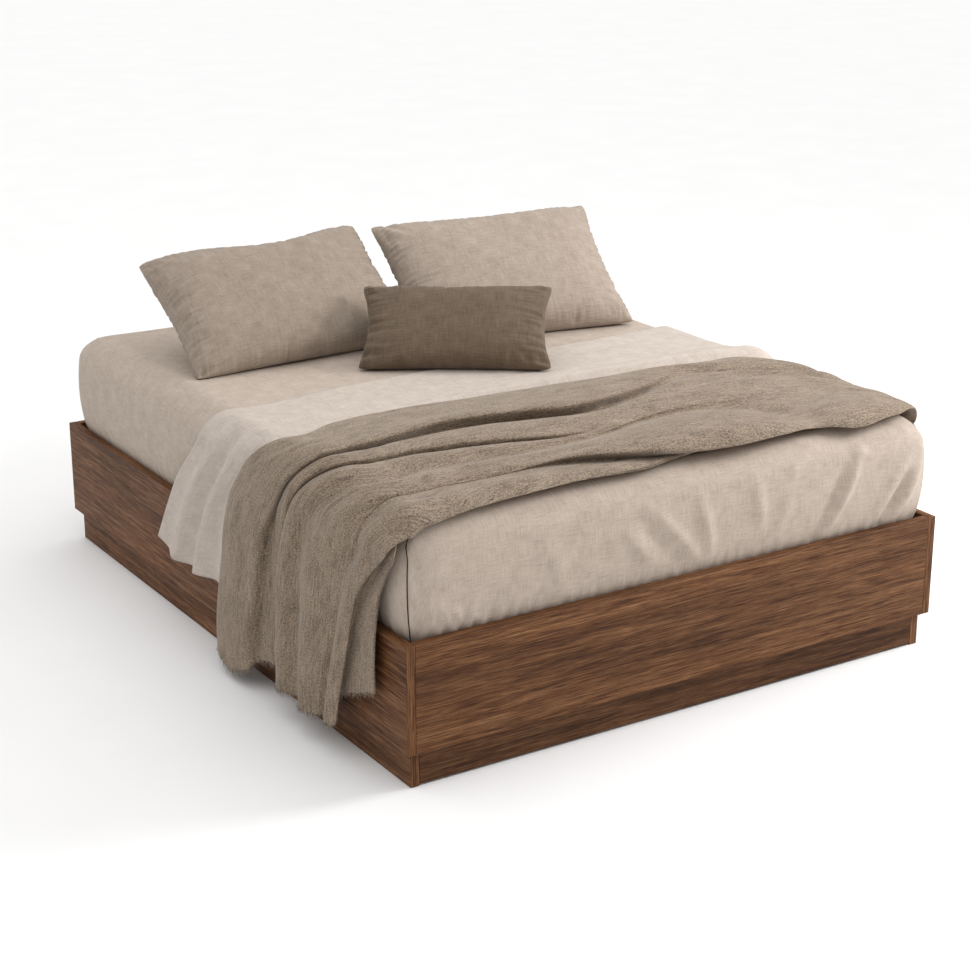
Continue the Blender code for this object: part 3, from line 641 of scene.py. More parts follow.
# Fold lines of the throw, from its head edge to its foot edge
THROW_FOLDS = [
    # head edge, touching the bed
    [(-1.50, -0.130, 0.012), (-1.43, -0.110, 0.012), (-1.18, -0.130, 0.010), (-0.97, -0.180, 0.008),
     (-0.84, -0.280, 0.004), (-0.76, -0.325, 0.003), (-0.61, -0.270, 0.002), (-0.23, -0.260, 0.002),
     (0.25, -0.290, 0.002), (0.58, -0.320, 0.003), (0.71, -0.350, 0.004), (0.80, -0.480, 0.006),
     (0.92, -0.560, 0.008), (1.25, -0.600, 0.010)],
    # the roll over it
    [(-1.50, -0.135, 0.034), (-1.43, -0.120, 0.036), (-1.18, -0.140, 0.034), (-0.97, -0.190, 0.028),
     (-0.84, -0.290, 0.018), (-0.76, -0.337, 0.014), (-0.61, -0.282, 0.011), (-0.23, -0.275, 0.010),
     (0.25, -0.305, 0.010), (0.58, -0.335, 0.011), (0.71, -0.365, 0.013), (0.80, -0.495, 0.015),
     (0.92, -0.575, 0.016), (1.25, -0.610, 0.016)],
    # crest of the first band
    [(-1.50, -0.210, 0.048), (-1.43, -0.205, 0.048), (-1.18, -0.235, 0.046), (-0.97, -0.290, 0.038),
     (-0.84, -0.400, 0.032), (-0.76, -0.440, 0.030), (-0.61, -0.415, 0.029), (-0.23, -0.415, 0.033),
     (0.00, -0.440, 0.036), (0.20, -0.400, 0.034), (0.38, -0.355, 0.026), (0.58, -0.385, 0.022),
     (0.71, -0.430, 0.020), (0.80, -0.540, 0.018), (0.92, -0.620, 0.018), (1.25, -0.645, 0.020)],
    # its brow, above the first deep fold
    [(-1.50, -0.300, 0.042), (-1.43, -0.300, 0.042), (-1.18, -0.335, 0.040), (-1.03, -0.370, 0.036),
     (-0.91, -0.455, 0.038), (-0.81, -0.540, 0.040), (-0.69, -0.540, 0.040), (-0.60, -0.530, 0.041),
     (-0.47, -0.505, 0.043), (-0.33, -0.505, 0.045), (-0.18, -0.535, 0.045), (-0.05, -0.562, 0.045),
     (0.12, -0.535, 0.042), (0.24, -0.488, 0.034), (0.34, -0.432, 0.025), (0.45, -0.388, 0.018),
     (0.58, -0.418, 0.016), (0.74, -0.515, 0.016), (0.85, -0.595, 0.016), (1.25, -0.665, 0.012)],
    # the first deep fold
    [(-1.50, -0.335, 0.012), (-1.43, -0.330, 0.012), (-1.18, -0.362, 0.010), (-1.03, -0.385, 0.008),
     (-0.91, -0.450, 0.006), (-0.81, -0.530, 0.006), (-0.69, -0.530, 0.006), (-0.60, -0.520, 0.006),
     (-0.47, -0.495, 0.006), (-0.33, -0.495, 0.006), (-0.18, -0.523, 0.006), (-0.05, -0.550, 0.006),
     (0.12, -0.528, 0.007), (0.24, -0.490, 0.008), (0.34, -0.445, 0.008), (0.45, -0.410, 0.008),
     (0.58, -0.450, 0.004), (0.74, -0.550, 0.004), (0.85, -0.630, 0.007), (1.25, -0.690, 0.010)],
    # small roll between the two deep folds, the floor of the recess where it hangs
    [(-1.50, -0.400, 0.010), (-1.43, -0.400, 0.010), (-1.18, -0.412, 0.010), (-1.03, -0.430, 0.014),
     (-0.93, -0.465, 0.024), (-0.86, -0.520, 0.030), (-0.80, -0.560, 0.031), (-0.72, -0.572, 0.030),
     (-0.57, -0.562, 0.031), (-0.42, -0.562, 0.032), (-0.28, -0.575, 0.033), (-0.15, -0.600, 0.030),
     (0.00, -0.612, 0.026), (0.15, -0.575, 0.024), (0.30, -0.510, 0.022), (0.45, -0.465, 0.024),
     (0.58, -0.505, 0.026), (0.74, -0.600, 0.022), (0.85, -0.660, 0.020), (1.25, -0.715, 0.018)],
    # its brow
    [(-1.50, -0.440, 0.009), (-1.43, -0.440, 0.009), (-1.18, -0.445, 0.009), (-1.07, -0.455, 0.012),
     (-0.97, -0.480, 0.018), (-0.90, -0.515, 0.024), (-0.86, -0.556, 0.027), (-0.80, -0.600, 0.027),
     (-0.74, -0.620, 0.026), (-0.59, -0.620, 0.026), (-0.46, -0.634, 0.027), (-0.33, -0.660, 0.027),
     (-0.25, -0.682, 0.025), (-0.15, -0.695, 0.021), (-0.02, -0.672, 0.018), (0.12, -0.618, 0.020),
     (0.30, -0.560, 0.022), (0.50, -0.530, 0.024), (0.60, -0.560, 0.022), (0.74, -0.640, 0.016),
     (0.85, -0.685, 0.014), (1.25, -0.725, 0.014)],
    # the second deep fold
    [(-1.50, -0.470, 0.008), (-1.43, -0.470, 0.008), (-1.18, -0.465, 0.008), (-1.07, -0.468, 0.007),
     (-0.97, -0.488, 0.006), (-0.90, -0.520, 0.006), (-0.86, -0.550, 0.005), (-0.80, -0.595, 0.005),
     (-0.74, -0.618, 0.005), (-0.59, -0.620, 0.005), (-0.46, -0.635, 0.005), (-0.33, -0.662, 0.006),
     (-0.25, -0.685, 0.007), (-0.15, -0.705, 0.010), (-0.02, -0.690, 0.014), (0.12, -0.635, 0.020),
     (0.30, -0.580, 0.024), (0.50, -0.560, 0.026), (0.60, -0.590, 0.024), (0.74, -0.660, 0.016),
     (0.85, -0.700, 0.014), (1.25, -0.735, 0.014)],
    # head edge of the main panel, overlapping it
    [(-1.50, -0.472, 0.038), (-1.43, -0.475, 0.040), (-1.18, -0.475, 0.040), (-1.07, -0.480, 0.037),
     (-0.97, -0.503, 0.032), (-0.90, -0.535, 0.027), (-0.86, -0.568, 0.023), (-0.80, -0.618, 0.020),
     (-0.74, -0.641, 0.019), (-0.59, -0.643, 0.018), (-0.46, -0.659, 0.018), (-0.33, -0.686, 0.018),
     (-0.25, -0.707, 0.017), (-0.15, -0.720, 0.014), (-0.02, -0.700, 0.013), (0.12, -0.655, 0.017),
     (0.30, -0.620, 0.022), (0.50, -0.610, 0.025), (0.60, -0.640, 0.022), (0.74, -0.700, 0.014),
     (0.85, -0.725, 0.012), (1.25, -0.755, 0.012)],
    # its first crest
    [(-1.50, -0.515, 0.046), (-1.43, -0.515, 0.048), (-1.18, -0.515, 0.046), (-1.00, -0.535, 0.040),
     (-0.91, -0.572, 0.033), (-0.84, -0.634, 0.029), (-0.75, -0.685, 0.026), (-0.60, -0.685, 0.024),
     (-0.46, -0.697, 0.023), (-0.30, -0.720, 0.018), (-0.15, -0.730, 0.012), (0.00, -0.704, 0.009),
     (0.12, -0.668, 0.011), (0.31, -0.655, 0.016), (0.45, -0.670, 0.020), (0.60, -0.700, 0.018),
     (0.74, -0.740, 0.014), (0.85, -0.755, 0.014), (1.25, -0.775, 0.014)],
    # soft valley across the main panel, which turns down to the foot edge near its right end
    [(-1.50, -0.565, 0.024), (-1.43, -0.565, 0.024), (-1.18, -0.565, 0.022), (-1.00, -0.575, 0.018),
     (-0.94, -0.596, 0.018), (-0.88, -0.642, 0.013), (-0.84, -0.690, 0.010), (-0.75, -0.745, 0.009),
     (-0.60, -0.740, 0.009), (-0.44, -0.745, 0.009), (-0.23, -0.750, 0.007), (-0.07, -0.735, 0.006),
     (0.03, -0.705, 0.003), (0.14, -0.680, 0.002), (0.31, -0.695, 0.002), (0.40, -0.750, 0.003),
     (0.46, -0.830, 0.010), (0.60, -0.790, 0.016), (0.74, -0.790, 0.016), (0.85, -0.785, 0.016),
     (1.25, -0.790, 0.016)],
    # crest beyond it, the top of the big lobe on the right
    [(-1.50, -0.610, 0.050), (-1.43, -0.615, 0.050), (-1.18, -0.630, 0.048), (-1.00, -0.655, 0.040),
     (-0.92, -0.700, 0.032), (-0.86, -0.755, 0.027), (-0.78, -0.805, 0.024), (-0.60, -0.800, 0.023),
     (-0.44, -0.805, 0.024), (-0.23, -0.815, 0.028), (-0.07, -0.820, 0.036), (0.05, -0.800, 0.042),
     (0.16, -0.795, 0.043), (0.28, -0.825, 0.038), (0.38, -0.880, 0.024), (0.46, -0.910, 0.010),
     (0.55, -0.880, 0.022), (0.66, -0.870, 0.026), (0.78, -0.850, 0.018), (0.90, -0.810, 0.010),
     (1.25, -0.805, 0.010)],
    # front of the lobe
    [(-1.50, -0.655, 0.046), (-1.43, -0.660, 0.046), (-1.18, -0.690, 0.043), (-1.00, -0.735, 0.034),
     (-0.92, -0.790, 0.027), (-0.85, -0.830, 0.022), (-0.78, -0.856, 0.018), (-0.60, -0.848, 0.018),
     (-0.44, -0.853, 0.020), (-0.30, -0.865, 0.027), (-0.20, -0.890, 0.036), (-0.11, -0.918, 0.044),
     (-0.02, -0.935, 0.048), (0.08, -0.945, 0.049), (0.20, -0.950, 0.046), (0.32, -0.948, 0.036),
     (0.41, -0.945, 0.020), (0.47, -0.950, 0.010), (0.55, -0.960, 0.022), (0.66, -0.955, 0.026),
     (0.78, -0.930, 0.018), (0.84, -0.900, 0.014), (0.92, -0.860, 0.012), (1.25, -0.845, 0.012)],
    # foot edge of the lobe, fading into a soft valley on the left
    [(-1.50, -0.685, 0.036), (-1.43, -0.690, 0.036), (-1.18, -0.730, 0.034), (-1.00, -0.790, 0.027),
     (-0.92, -0.830, 0.020), (-0.85, -0.856, 0.014), (-0.78, -0.868, 0.010), (-0.60, -0.862, 0.010),
     (-0.44, -0.866, 0.011), (-0.30, -0.878, 0.021), (-0.20, -0.915, 0.029), (-0.11, -0.955, 0.031),
     (-0.02, -0.982, 0.028), (0.08, -0.994, 0.025), (0.20, -0.998, 0.024), (0.32, -0.990, 0.020),
     (0.41, -0.978, 0.011), (0.47, -0.976, 0.005), (0.55, -1.005, 0.014), (0.66, -1.000, 0.014),
     (0.78, -0.978, 0.010), (0.84, -0.945, 0.009), (0.92, -0.890, 0.008), (1.25, -0.860, 0.008)],
    # under it
    [(-1.50, -0.705, 0.022), (-1.43, -0.710, 0.022), (-1.18, -0.755, 0.022), (-1.00, -0.815, 0.024),
     (-0.92, -0.848, 0.016), (-0.85, -0.868, 0.010), (-0.78, -0.875, 0.008), (-0.60, -0.870, 0.008),
     (-0.44, -0.872, 0.008), (-0.30, -0.870, 0.006), (-0.20, -0.892, 0.006), (-0.11, -0.925, 0.006),
     (-0.02, -0.952, 0.004), (0.08, -0.966, 0.003), (0.20, -0.970, 0.003), (0.32, -0.962, 0.002),
     (0.41, -0.955, 0.002), (0.47, -0.955, 0.002), (0.55, -0.980, 0.002), (0.66, -0.975, 0.002),
     (0.78, -0.950, 0.002), (0.84, -0.920, 0.003), (0.92, -0.870, 0.004), (1.25, -0.845, 0.004)],
    # crest of the lower layer
    [(-1.50, -0.735, 0.044), (-1.43, -0.740, 0.046), (-1.18, -0.795, 0.044), (-1.00, -0.855, 0.036),
     (-0.92, -0.900, 0.030), (-0.85, -0.940, 0.024), (-0.78, -0.955, 0.021), (-0.60, -0.945, 0.020),
     (-0.44, -0.943, 0.019), (-0.30, -0.940, 0.015), (-0.20, -0.945, 0.010), (-0.11, -0.950, 0.005),
     (-0.02, -0.945, 0.002), (0.28, -0.935, 0.002), (0.46, -0.930, 0.002), (0.66, -0.930, 0.002),
     (0.78, -0.900, 0.002), (0.90, -0.850, 0.003), (1.25, -0.835, 0.003)],
    # foot edge, a fold
    [(-1.50, -0.780, 0.036), (-1.43, -0.785, 0.038), (-1.33, -0.800, 0.038), (-1.17, -0.840, 0.037),
     (-1.08, -0.860, 0.035), (-0.99, -0.900, 0.031), (-0.93, -0.955, 0.026), (-0.88, -1.000, 0.022),
     (-0.82, -1.020, 0.016), (-0.76, -1.015, 0.012), (-0.60, -0.998, 0.010), (-0.44, -0.990, 0.009),
     (-0.30, -0.986, 0.008), (-0.20, -0.988, 0.006), (-0.11, -0.988, 0.004), (-0.02, -0.970, 0.001),
     (0.10, -0.945, 0.001), (0.46, -0.925, 0.001), (0.66, -0.915, 0.001), (0.78, -0.890, 0.001),
     (0.90, -0.840, 0.002), (1.25, -0.825, 0.002)],
    # turned under it
    [(-1.50, -0.765, 0.016), (-1.43, -0.770, 0.016), (-1.17, -0.820, 0.014), (-1.00, -0.880, 0.010),
     (-0.93, -0.935, 0.006), (-0.86, -0.990, 0.003), (-0.76, -0.998, 0.001), (-0.60, -0.980, 0.001),
     (-0.30, -0.968, 0.001), (-0.11, -0.968, 0.001), (-0.02, -0.950, 0.001), (0.46, -0.910, 0.001),
     (0.66, -0.900, 0.001), (0.78, -0.870, 0.001), (0.90, -0.820, 0.001), (1.25, -0.810, 0.001)],
    # the cloth's own foot edge, showing behind the main panel where it hangs
    [(-1.50, -0.940, 0.014), (-1.28, -0.938, 0.013), (-1.10, -0.932, 0.011), (-1.00, -0.950, 0.008),
     (-0.95, -0.972, 0.005), (-0.90, -1.000, 0.003), (-0.82, -0.985, 0.001), (-0.76, -0.950, 0.001),
     (-0.30, -0.930, 0.001), (0.30, -0.900, 0.001), (0.66, -0.860, 0.001), (0.78, -0.830, 0.001),
     (0.90, -0.780, 0.001), (1.25, -0.775, 0.001)],
]
THROW_LEFT_HEM = [0.062, 0.040, 0.012, 0.040, 0.070, 0.085, 0.082, 0.078, 0.066, 0.062, 0.060, 0.058, 0.060,
                  0.064, 0.066, 0.068, 0.078, 0.150, 0.212]
THROW_RIGHT_HEM = [0.400, 0.395, 0.385, 0.385, 0.395, 0.390, 0.395, 0.395, 0.390, 0.385, 0.390, 0.385, 0.390,
                   0.395, 0.400, 0.400, 0.410, 0.420, 0.430]


def yarn_ends(name, roots, ways, normals, length, thickness, seed):
    """Loose yarn ends: a thin bent taper at each root, leaning about its way."""
    rng = np.random.default_rng(seed)
    points, faces, uvs = [], [], []
    for root, way, normal in zip(roots, ways, normals):
        sideways = np.cross(way, normal)
        lean = way + sideways * rng.normal(0, 0.38) + normal * rng.normal(0.05, 0.25)
        curl = sideways * rng.normal(0, 0.5) + normal * rng.normal(0, 0.3)
        long = length * rng.uniform(0.5, 1.25)
        start = len(points)
        for ring, share in enumerate((0.0, 0.4, 0.75, 1.0)):
            centre = root + lean * long * share + curl * long * share**2 * 0.5
            width = thickness * (1.0 - 0.55 * share)
            for spoke in range(3):
                angle = 2 * math.pi * spoke / 3
                points.append(centre + width * (math.cos(angle) * sideways + math.sin(angle) * normal))
                uvs.append((root[1] * 3 + 0.002 * spoke, share * long))
        for ring in range(3):
            for spoke in range(3):
                a, b = start + ring * 3 + spoke, start + ring * 3 + (spoke + 1) % 3
                faces.append((a, b, b + 3, a + 3))
        faces.append((start + 2, start + 1, start))
        faces.append((start + 9, start + 10, start + 11))
    return mesh_object(name, points, faces, uvs)


def along_edge(edge, inner, spacing, seed):
    """(roots, ways, normals) every spacing metres along an edge, pointing away from the row inside it."""
    rng = np.random.default_rng(seed)
    run = np.concatenate([[0], np.cumsum(np.linalg.norm(np.diff(edge, axis=0), axis=1))])
    even = np.arange(0, run[-1], spacing)
    stops = even + rng.uniform(-0.3, 0.3, len(even)) * spacing
    roots, inside = along_line(edge, run, stops), along_line(inner, run, stops)
    ways = roots - inside
    ways /= np.linalg.norm(ways, axis=1, keepdims=True)
    tangent = along_line(edge, run, stops + 0.003) - roots
    tangent[-1] = tangent[-2]
    tangent /= np.maximum(np.linalg.norm(tangent, axis=1, keepdims=True), 1e-6)
    normals = np.cross(tangent, ways)
    normals /= np.linalg.norm(normals, axis=1, keepdims=True)
    return roots - ways * 0.002, ways, normals


def throw():
    """The wool throw over the foot end, laid in long soft folds that open where it hangs."""
    fine = 1
    points, faces, uvs = laid_cloth(
        THROW_FOLDS, 0.012, 460 // fine, 12 // fine, THROW_LEFT_HEM, THROW_RIGHT_HEM, 0.0028, 0.006
    )
    cloth = mesh_object("wool_throw", points.reshape(-1, 3), faces, uvs.reshape(-1, 2))
    cloth.data.materials.append(WOOL)
    thicken(cloth, 0.004)
    hanging = 170 // fine
    foot_edge, foot_row = points[:hanging, -1], points[:hanging, -2]
    fringe_parts = (
        yarn_ends("fringe_left", *along_edge(points[0], points[2], 0.0024, 1), 0.013, 0.0008, 1),
        yarn_ends("fringe_right", *along_edge(points[-1], points[-3], 0.0034, 2), 0.011, 0.0008, 2),
        yarn_ends("fringe_foot", *along_edge(foot_edge, foot_row, 0.0026, 3), 0.006, 0.0008, 3),
    )
    for part in fringe_parts:
        part.data.materials.append(WOOL)
        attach(part, "bedding")
    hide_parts("throw_blanket")
    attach(cloth, "bedding")
    # Unrolled along the folds it narrows towards the right end, so the cut isn't a rectangle
    return cloth


# Fold lines of the top sheet, from its head edge to its foot edge
SHEET_FOLDS = [
    # head edge
    [(-1.27, 0.357, 0.012), (-1.02, 0.200, 0.010), (-0.86, 0.060, 0.005), (-0.74, 0.030, 0.001),
     (-0.40, 0.060, 0.001), (0.20, 0.090, 0.001), (0.74, 0.110, 0.001), (0.90, 0.120, 0.004),
     (1.05, 0.130, 0.008)],
    # gentle swell behind the deep fold
    [(-1.27, 0.270, 0.016), (-1.02, 0.130, 0.013), (-0.86, 0.000, 0.009), (-0.74, -0.030, 0.003),
     (-0.40, 0.000, 0.001), (0.20, 0.030, 0.001), (0.74, 0.050, 0.001), (0.90, 0.060, 0.004),
     (1.05, 0.070, 0.012)],
    [(-1.27, 0.190, 0.036), (-1.13, 0.130, 0.034), (-1.02, 0.070, 0.030), (-0.92, -0.015, 0.022),
     (-0.84, -0.080, 0.014), (-0.74, -0.120, 0.009), (-0.55, -0.120, 0.005), (0.20, -0.040, 0.001),
     (0.74, -0.020, 0.001), (0.90, 0.000, 0.004), (1.05, 0.000, 0.012)],
    # the deep fold
    [(-1.27, 0.120, 0.006), (-1.13, 0.070, 0.005), (-1.02, 0.010, 0.004), (-0.92, -0.070, 0.003),
     (-0.84, -0.135, 0.002), (-0.74, -0.170, 0.001), (-0.51, -0.195, 0.001), (0.20, -0.110, 0.002),
     (0.74, -0.090, 0.002), (0.90, -0.080, 0.004), (1.05, -0.080, 0.012)],
    # crest on its foot side
    [(-1.27, 0.060, 0.034), (-1.13, 0.010, 0.033), (-1.02, -0.045, 0.030), (-0.92, -0.120, 0.022),
     (-0.84, -0.180, 0.014), (-0.74, -0.215, 0.012), (-0.51, -0.225, 0.010), (0.20, -0.170, 0.003),
     (0.74, -0.170, 0.006), (0.90, -0.170, 0.006), (1.05, -0.170, 0.012)],
    [(-1.27, -0.020, 0.010), (-1.02, -0.100, 0.010), (-0.86, -0.215, 0.010), (-0.74, -0.250, 0.009),
     (-0.51, -0.235, 0.008), (0.20, -0.205, 0.010), (0.74, -0.240, 0.018), (0.90, -0.265, 0.016),
     (1.05, -0.280, 0.012)],
    # the soft roll beside the throw
    [(-1.27, -0.080, 0.020), (-1.02, -0.160, 0.018), (-0.86, -0.255, 0.006), (-0.74, -0.290, 0.008),
     (-0.51, -0.240, 0.011), (0.00, -0.235, 0.020), (0.20, -0.250, 0.028), (0.55, -0.282, 0.034),
     (0.74, -0.310, 0.034), (0.90, -0.340, 0.022), (1.05, -0.350, 0.010)],
    [(-1.27, -0.150, 0.004), (-1.02, -0.240, 0.004), (-0.86, -0.310, 0.003), (-0.74, -0.350, 0.003),
     (-0.51, -0.285, 0.002), (0.20, -0.290, 0.002), (0.74, -0.370, 0.002), (0.90, -0.400, 0.004),
     (1.05, -0.410, 0.005)],
    # its foot edge, under the throw
    [(-1.27, -0.210, 0.002), (-1.02, -0.300, 0.002), (-0.86, -0.380, 0.001), (-0.74, -0.420, 0.001),
     (-0.51, -0.360, 0.001), (0.20, -0.360, 0.001), (0.74, -0.430, 0.001), (0.90, -0.470, 0.002),
     (1.05, -0.480, 0.002)],
]
SHEET_LEFT_HEM = [0.222, 0.214, 0.206, 0.202, 0.204, 0.210, 0.220, 0.230, 0.240]
SHEET_RIGHT_HEM = [0.46] * len(SHEET_LEFT_HEM)


def top_sheet():
    """The lighter sheet across the middle of the bed, hanging over the left rail."""
    fine = 1
    points, faces, uvs = laid_cloth(
        SHEET_FOLDS, 0.003, 300 // fine, 14 // fine, SHEET_LEFT_HEM, SHEET_RIGHT_HEM, 0.0012
    )
    cloth = mesh_object("light_top_sheet", points.reshape(-1, 3), faces, uvs.reshape(-1, 2))
    cloth.data.materials.append(LIGHT_LINEN)
    thicken(cloth, 0.0014)
    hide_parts("top_sheet")
    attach(cloth, "bedding")
    # Unrolled along the folds it is narrower over the bed than at the hems
    return cloth


# Pillows

# The air that fills them: steps, pressure, and the furthest that it moves a point
PLUMP_FRAMES, PLUMP_PRESSURE, PLUMP_CAP = 12, 3.0, 0.008

# How the top edges of the two pillows sag between their corners
LEFT_SAG = ((-1, 0.020), (-0.8, 0.009), (-0.45, 0.010), (0.0, 0.027), (0.35, 0.023), (0.7, 0.005), (1, 0.0))
RIGHT_SAG = ((-1, 0.0), (-0.7, 0.001), (-0.2, 0.007), (0.2, 0.006), (0.7, -0.001), (1, 0.0))


def pillow_form(size, waist, sag):
    """(points, faces, cloth coordinates) of two sewn panels of size (width, height, thickness).

    waist is how far its sides and its top and bottom pull in between the corners, as shares of the size.
    sag is how far the top edge hangs, in metres, at places from -1 (left) to 1 (right).
    """
    width, height, thick = size
    spacing = 0.005
    nu, nv = round(width / spacing), round(height / spacing)
    us, vs = np.linspace(-1, 1, nu + 1), np.linspace(-1, 1, nv + 1)
    U, V = np.meshgrid(us, vs)
    corner = (np.abs(U) * np.abs(V)) ** 12
    along = U * (1 - waist[0] * (1 - V**2)) * width / 2 - np.sign(U) * 0.006 * corner
    pull = np.where(V > 0, waist[1], 0.3 * waist[1])
    up = V * (1 - pull * (1 - U**2)) * height / 2 - np.sign(V) * 0.006 * corner
    if sag:
        up -= smooth(-0.4, 1.0, V) * spline(*zip(*sag), us)[None, :]
    full = ((1 - np.abs(U) ** 3.4) * (1 - np.abs(V) ** 3.4)) ** 0.62
    points, faces, uvs = [], [], []
    quads = grid_faces(nv + 1, nu + 1)
    for facing in (1, -1):
        faces.extend((quads if facing > 0 else quads[:, ::-1]) + len(points))
        points.extend(np.stack([along, up, facing * full * thick / 2], axis=2).reshape(-1, 3))
        uvs.extend(np.stack([U * width / 2, V * height / 2], axis=2).reshape(-1, 2))

    # The back panel's rim takes the front one's points, which sews the two together.
    points = np.array(points)
    count = len(points) // 2
    edge = (np.abs(U.ravel()) > 0.9999) | (np.abs(V.ravel()) > 0.9999)
    twin = np.arange(len(points))
    twin[count:][edge] = np.arange(count)[edge]
    used = np.unique(twin)
    renumber = np.full(len(points), -1)
    renumber[used] = np.arange(len(used))
    return points[used], renumber[twin[np.array(faces)]], np.array(uvs)[used]


def panel_pillow(name, size, waist, sag, seam_side, seed):
    """A stuffed pillow with its middle at the origin.

    seam_side is the side (-1 left, 1 right, 0 neither) with a closing seam stitched beside its edge.
    """
    points, faces, uvs = pillow_form(size, waist, sag)
    pillow = mesh_object(name, points, faces, uvs)
    plump(pillow, PLUMP_FRAMES, PLUMP_PRESSURE, PLUMP_CAP)
    points = points_of(pillow.data)
    facing = np.where(points[:, 2] >= 0, 1.0, -1.0)
    flat = uvs / (size[0] / 2, size[1] / 2)
    points[:, 2] += facing * puckers(flat, points, size, seam_side, seed)
    move_points(pillow.data, points)
    return pillow


def puckers(flat, co, size, seam_side, seed):
    """Height of the gathers at the edge seams, the creases at the corners and the closing seam's groove."""
    u, v = flat.T
    front = co[:, 2] >= 0
    from_side = (1 - np.abs(u)) * size[0] / 2
    from_end = (1 - np.abs(v)) * size[1] / 2
    face = np.where(front, 0.0, 3.0)
    around = np.stack([np.sign(u) * 0.3 + face, v * size[1] / 2, 0.10 * from_side], axis=1)
    across = np.stack([u * size[0] / 2, np.sign(v) * 0.3 + face, 0.18 * from_end], axis=1)
    sides = gathers(around, 0.015, seed) * np.exp(-from_side / 0.045) * smooth(0.0, 0.020, from_side)
    ends = gathers(across, 0.020, seed + 1) * np.exp(-from_end / 0.030) * smooth(0.0, 0.020, from_end)
    x, y, diagonal = co[:, 0], co[:, 1], np.sign(u * v)
    slanted = np.stack([x * 0.35 + y * 0.35 * diagonal, x - y * diagonal, face], 1)
    near_corner = np.exp(-(from_side**2 + from_end**2) / 0.09**2)
    corners = wander(slanted * (0.5, 1, 1), 0.030, seed + 2) * near_corner * smooth(0.0, 0.02, from_side)
    dents = wander(co * (1, 1, 0.3), 0.14, seed + 3)
    inner = smooth(0.0, 0.06, np.minimum(from_side, from_end))
    relief = 0.0230 * sides + 0.0090 * ends + 0.0120 * corners + 0.0080 * dents * inner
    if seam_side:
        beside = (1 - seam_side * u) * size[0] / 2
        groove = np.exp(-(((beside - 0.022) / 0.0060) ** 2)) * front * smooth(0.0, 0.03, from_end)
        relief -= 0.0060 * groove
    return relief


def gathers(points, size, seed):
    """Noise with narrow troughs and round crests, as cloth gathered into a seam has."""
    return 0.5 - 1.4 * np.abs(wander(points, size, seed)) - 0.3 * wander(points, 3 * size, seed + 9) ** 2


def plump(obj, frames, pressure, cap):
    """Fills the object with air as cloth, and keeps the shape with no point moved further than cap."""
    scene = bpy.context.scene
    before = points_of(obj.data)
    cloth = obj.modifiers.new("air", "CLOTH")
    settings = cloth.settings
    settings.quality = 5
    settings.mass = 0.25
    settings.tension_stiffness = settings.compression_stiffness = 20
    settings.shear_stiffness = 6
    settings.bending_stiffness = 0.12
    settings.use_pressure = True
    settings.uniform_pressure_force = pressure
    settings.shrink_min = settings.shrink_max = -0.018
    settings.effector_weights.gravity = 0
    cloth.point_cache.frame_start, cloth.point_cache.frame_end = 1, frames
    for step in range(1, frames + 1):
        scene.frame_set(step)
    shape = bpy.data.meshes.new_from_object(obj.evaluated_get(bpy.context.evaluated_depsgraph_get()))
    obj.modifiers.remove(cloth)
    moved = points_of(shape) - before
    far = np.linalg.norm(moved, axis=1, keepdims=True)
    move_points(obj.data, before + moved * np.minimum(1.0, cap * np.tanh(far / cap) / np.maximum(far, 1e-9)))
    bpy.data.meshes.remove(shape)
    scene.frame_set(1)


def place_pillow(pillow, pose, height, rest):
    """Stands the pillow on its lower edge at (x, y), turned, leaned and tilted, and flattened on the bed."""
    x, y, yaw, lean, tilt = pose
    turn = (
        Matrix.Translation((x, y, rest + 0.006))
        @ Matrix.Rotation(math.radians(yaw), 4, "Z")
        @ Matrix.Rotation(math.radians(lean), 4, "X")
        @ Matrix.Rotation(math.radians(tilt), 4, "Z")
    )
    for vert in pillow.data.vertices:
        world = turn @ (vert.co + Vector((0, height / 2, 0)))
        if world.z < rest + 0.010:
            world.z = rest + 0.010 * math.exp((world.z - rest - 0.010) / 0.010)
        vert.co = world
    pillow.data.update()


def pillows():
    on_bed = BED_TOP + 0.001
    on_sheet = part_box("top_sheet")[1].z - 0.004
    size = (0.735, 0.468, 0.178)
    small = (0.556, 0.297, 0.118)
    # node, piece, size, waist, sag, closing seam's side, (x, y, yaw, lean, tilt), height of rest, look, slot
    places = (
        ("pillow_left", "linen_pillow_left", size, (0.040, 0.015), LEFT_SAG, -1,
         (-0.345, 0.345, -1, 37, 2.5), on_bed, PILLOW_LINEN, "pillow_linen"),
        # the right pillow wears the lighter copy of the pillow linen, which is painted light
        ("pillow_right", "linen_pillow_right", size, (0.055, 0.030), RIGHT_SAG, -1,
         (0.340, 0.236, -9, 39.5, 0.5), on_bed, PILLOW_LINEN_PAINTED_LIGHT, "pillow_linen"),
        ("lumbar_cushion", "dark_lumbar_cushion", small, (0.045, 0.075), (), 0,
         (-0.053, 0.020, -35.5, 41, 1), on_sheet, DARK_LINEN, "dark_linen"),
    )
    for seed, (node, name, sizes, waist, sag, seam, pose, rest, look, slot) in enumerate(places):
        pillow = panel_pillow(name, sizes, waist, sag, seam, 11 + 5 * seed)
        place_pillow(pillow, pose, sizes[1], rest)
        pillow.data.materials.append(look)
        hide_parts(node)
        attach(pillow, "bedding")


# The stage: floor, light and camera

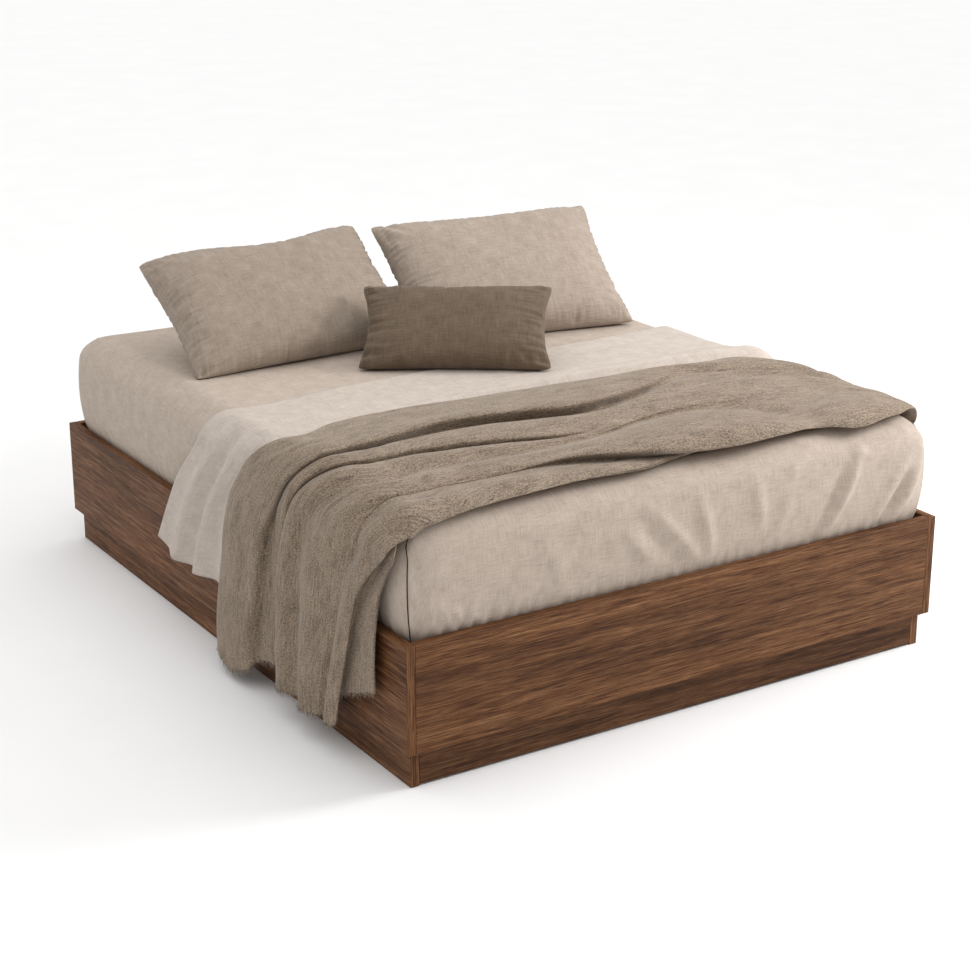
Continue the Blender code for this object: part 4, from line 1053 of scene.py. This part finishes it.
def floor():
    far = 150
    corners = [(-far, -far, 0), (far, -far, 0), (far, far, 0), (-far, far, 0)]
    ground = mesh_object("floor", corners, [(0, 1, 2, 3)])
    m = Nodes("studio_floor")
    fine = m.noise(m.coordinates("Object", (3, 3, 3)), 1.0, 3.0)
    m.set(base_color=m.ramp(fine, [(0.3, (0.88, 0.88, 0.88)), (0.7, (0.90, 0.90, 0.90))]))
    m.shader.inputs["Roughness"].default_value = 0.9
    m.shader.inputs["Specular IOR Level"].default_value = 0.1
    ground.data.materials.append(m.material)


def lights():
    """A large soft source overhead, warmer and dimmer towards the horizon, and a broad key from the right."""
    world = bpy.data.worlds.new("studio")
    bpy.context.scene.world = world
    world.use_nodes = True
    tree = world.node_tree
    background = tree.nodes["Background"]
    where = tree.nodes.new("ShaderNodeTexCoord")
    axes = tree.nodes.new("ShaderNodeSeparateXYZ")
    sky = tree.nodes.new("ShaderNodeValToRGB")
    tree.links.new(where.outputs["Generated"], axes.inputs[0])
    tree.links.new(axes.outputs["Z"], sky.inputs["Fac"])
    sky.color_ramp.elements[0].color = (*HORIZON, 1)
    sky.color_ramp.elements[1].color = (*ZENITH, 1)
    tree.links.new(sky.outputs["Color"], background.inputs["Color"])
    background.inputs["Strength"].default_value = SKY_STRENGTH
    lamp = bpy.data.lights.new("key", "AREA")
    lamp.shape = "DISK"
    lamp.size = KEY_SIZE
    lamp.energy = KEY_POWER
    key = bpy.data.objects.new("key", lamp)
    bpy.context.scene.collection.objects.link(key)
    key.location = KEY_AT
    key.rotation_euler = (Vector(KEY_AT) - Vector(KEY_AIM)).to_track_quat("Z", "Y").to_euler()


def camera():
    data = bpy.data.cameras.new("camera")
    data.sensor_width = 36
    data.lens = CAMERA_LENS
    data.clip_end = 200
    obj = bpy.data.objects.new("camera", data)
    bpy.context.scene.collection.objects.link(obj)
    a, e = math.radians(CAMERA_AZIMUTH), math.radians(CAMERA_ELEVATION)
    back = Vector((math.sin(a) * math.cos(e), -math.cos(a) * math.cos(e), math.sin(e)))
    obj.location = CAMERA_AT
    obj.rotation_mode = "QUATERNION"
    obj.rotation_quaternion = (-back).to_track_quat("-Z", "Y")
    bpy.context.scene.camera = obj


bpy.context.scene.view_settings.view_transform = "Standard"
camera()
floor()
lights()
dress_frame()
mattress()
fitted_sheet()
top_sheet()
throw()
pillows()
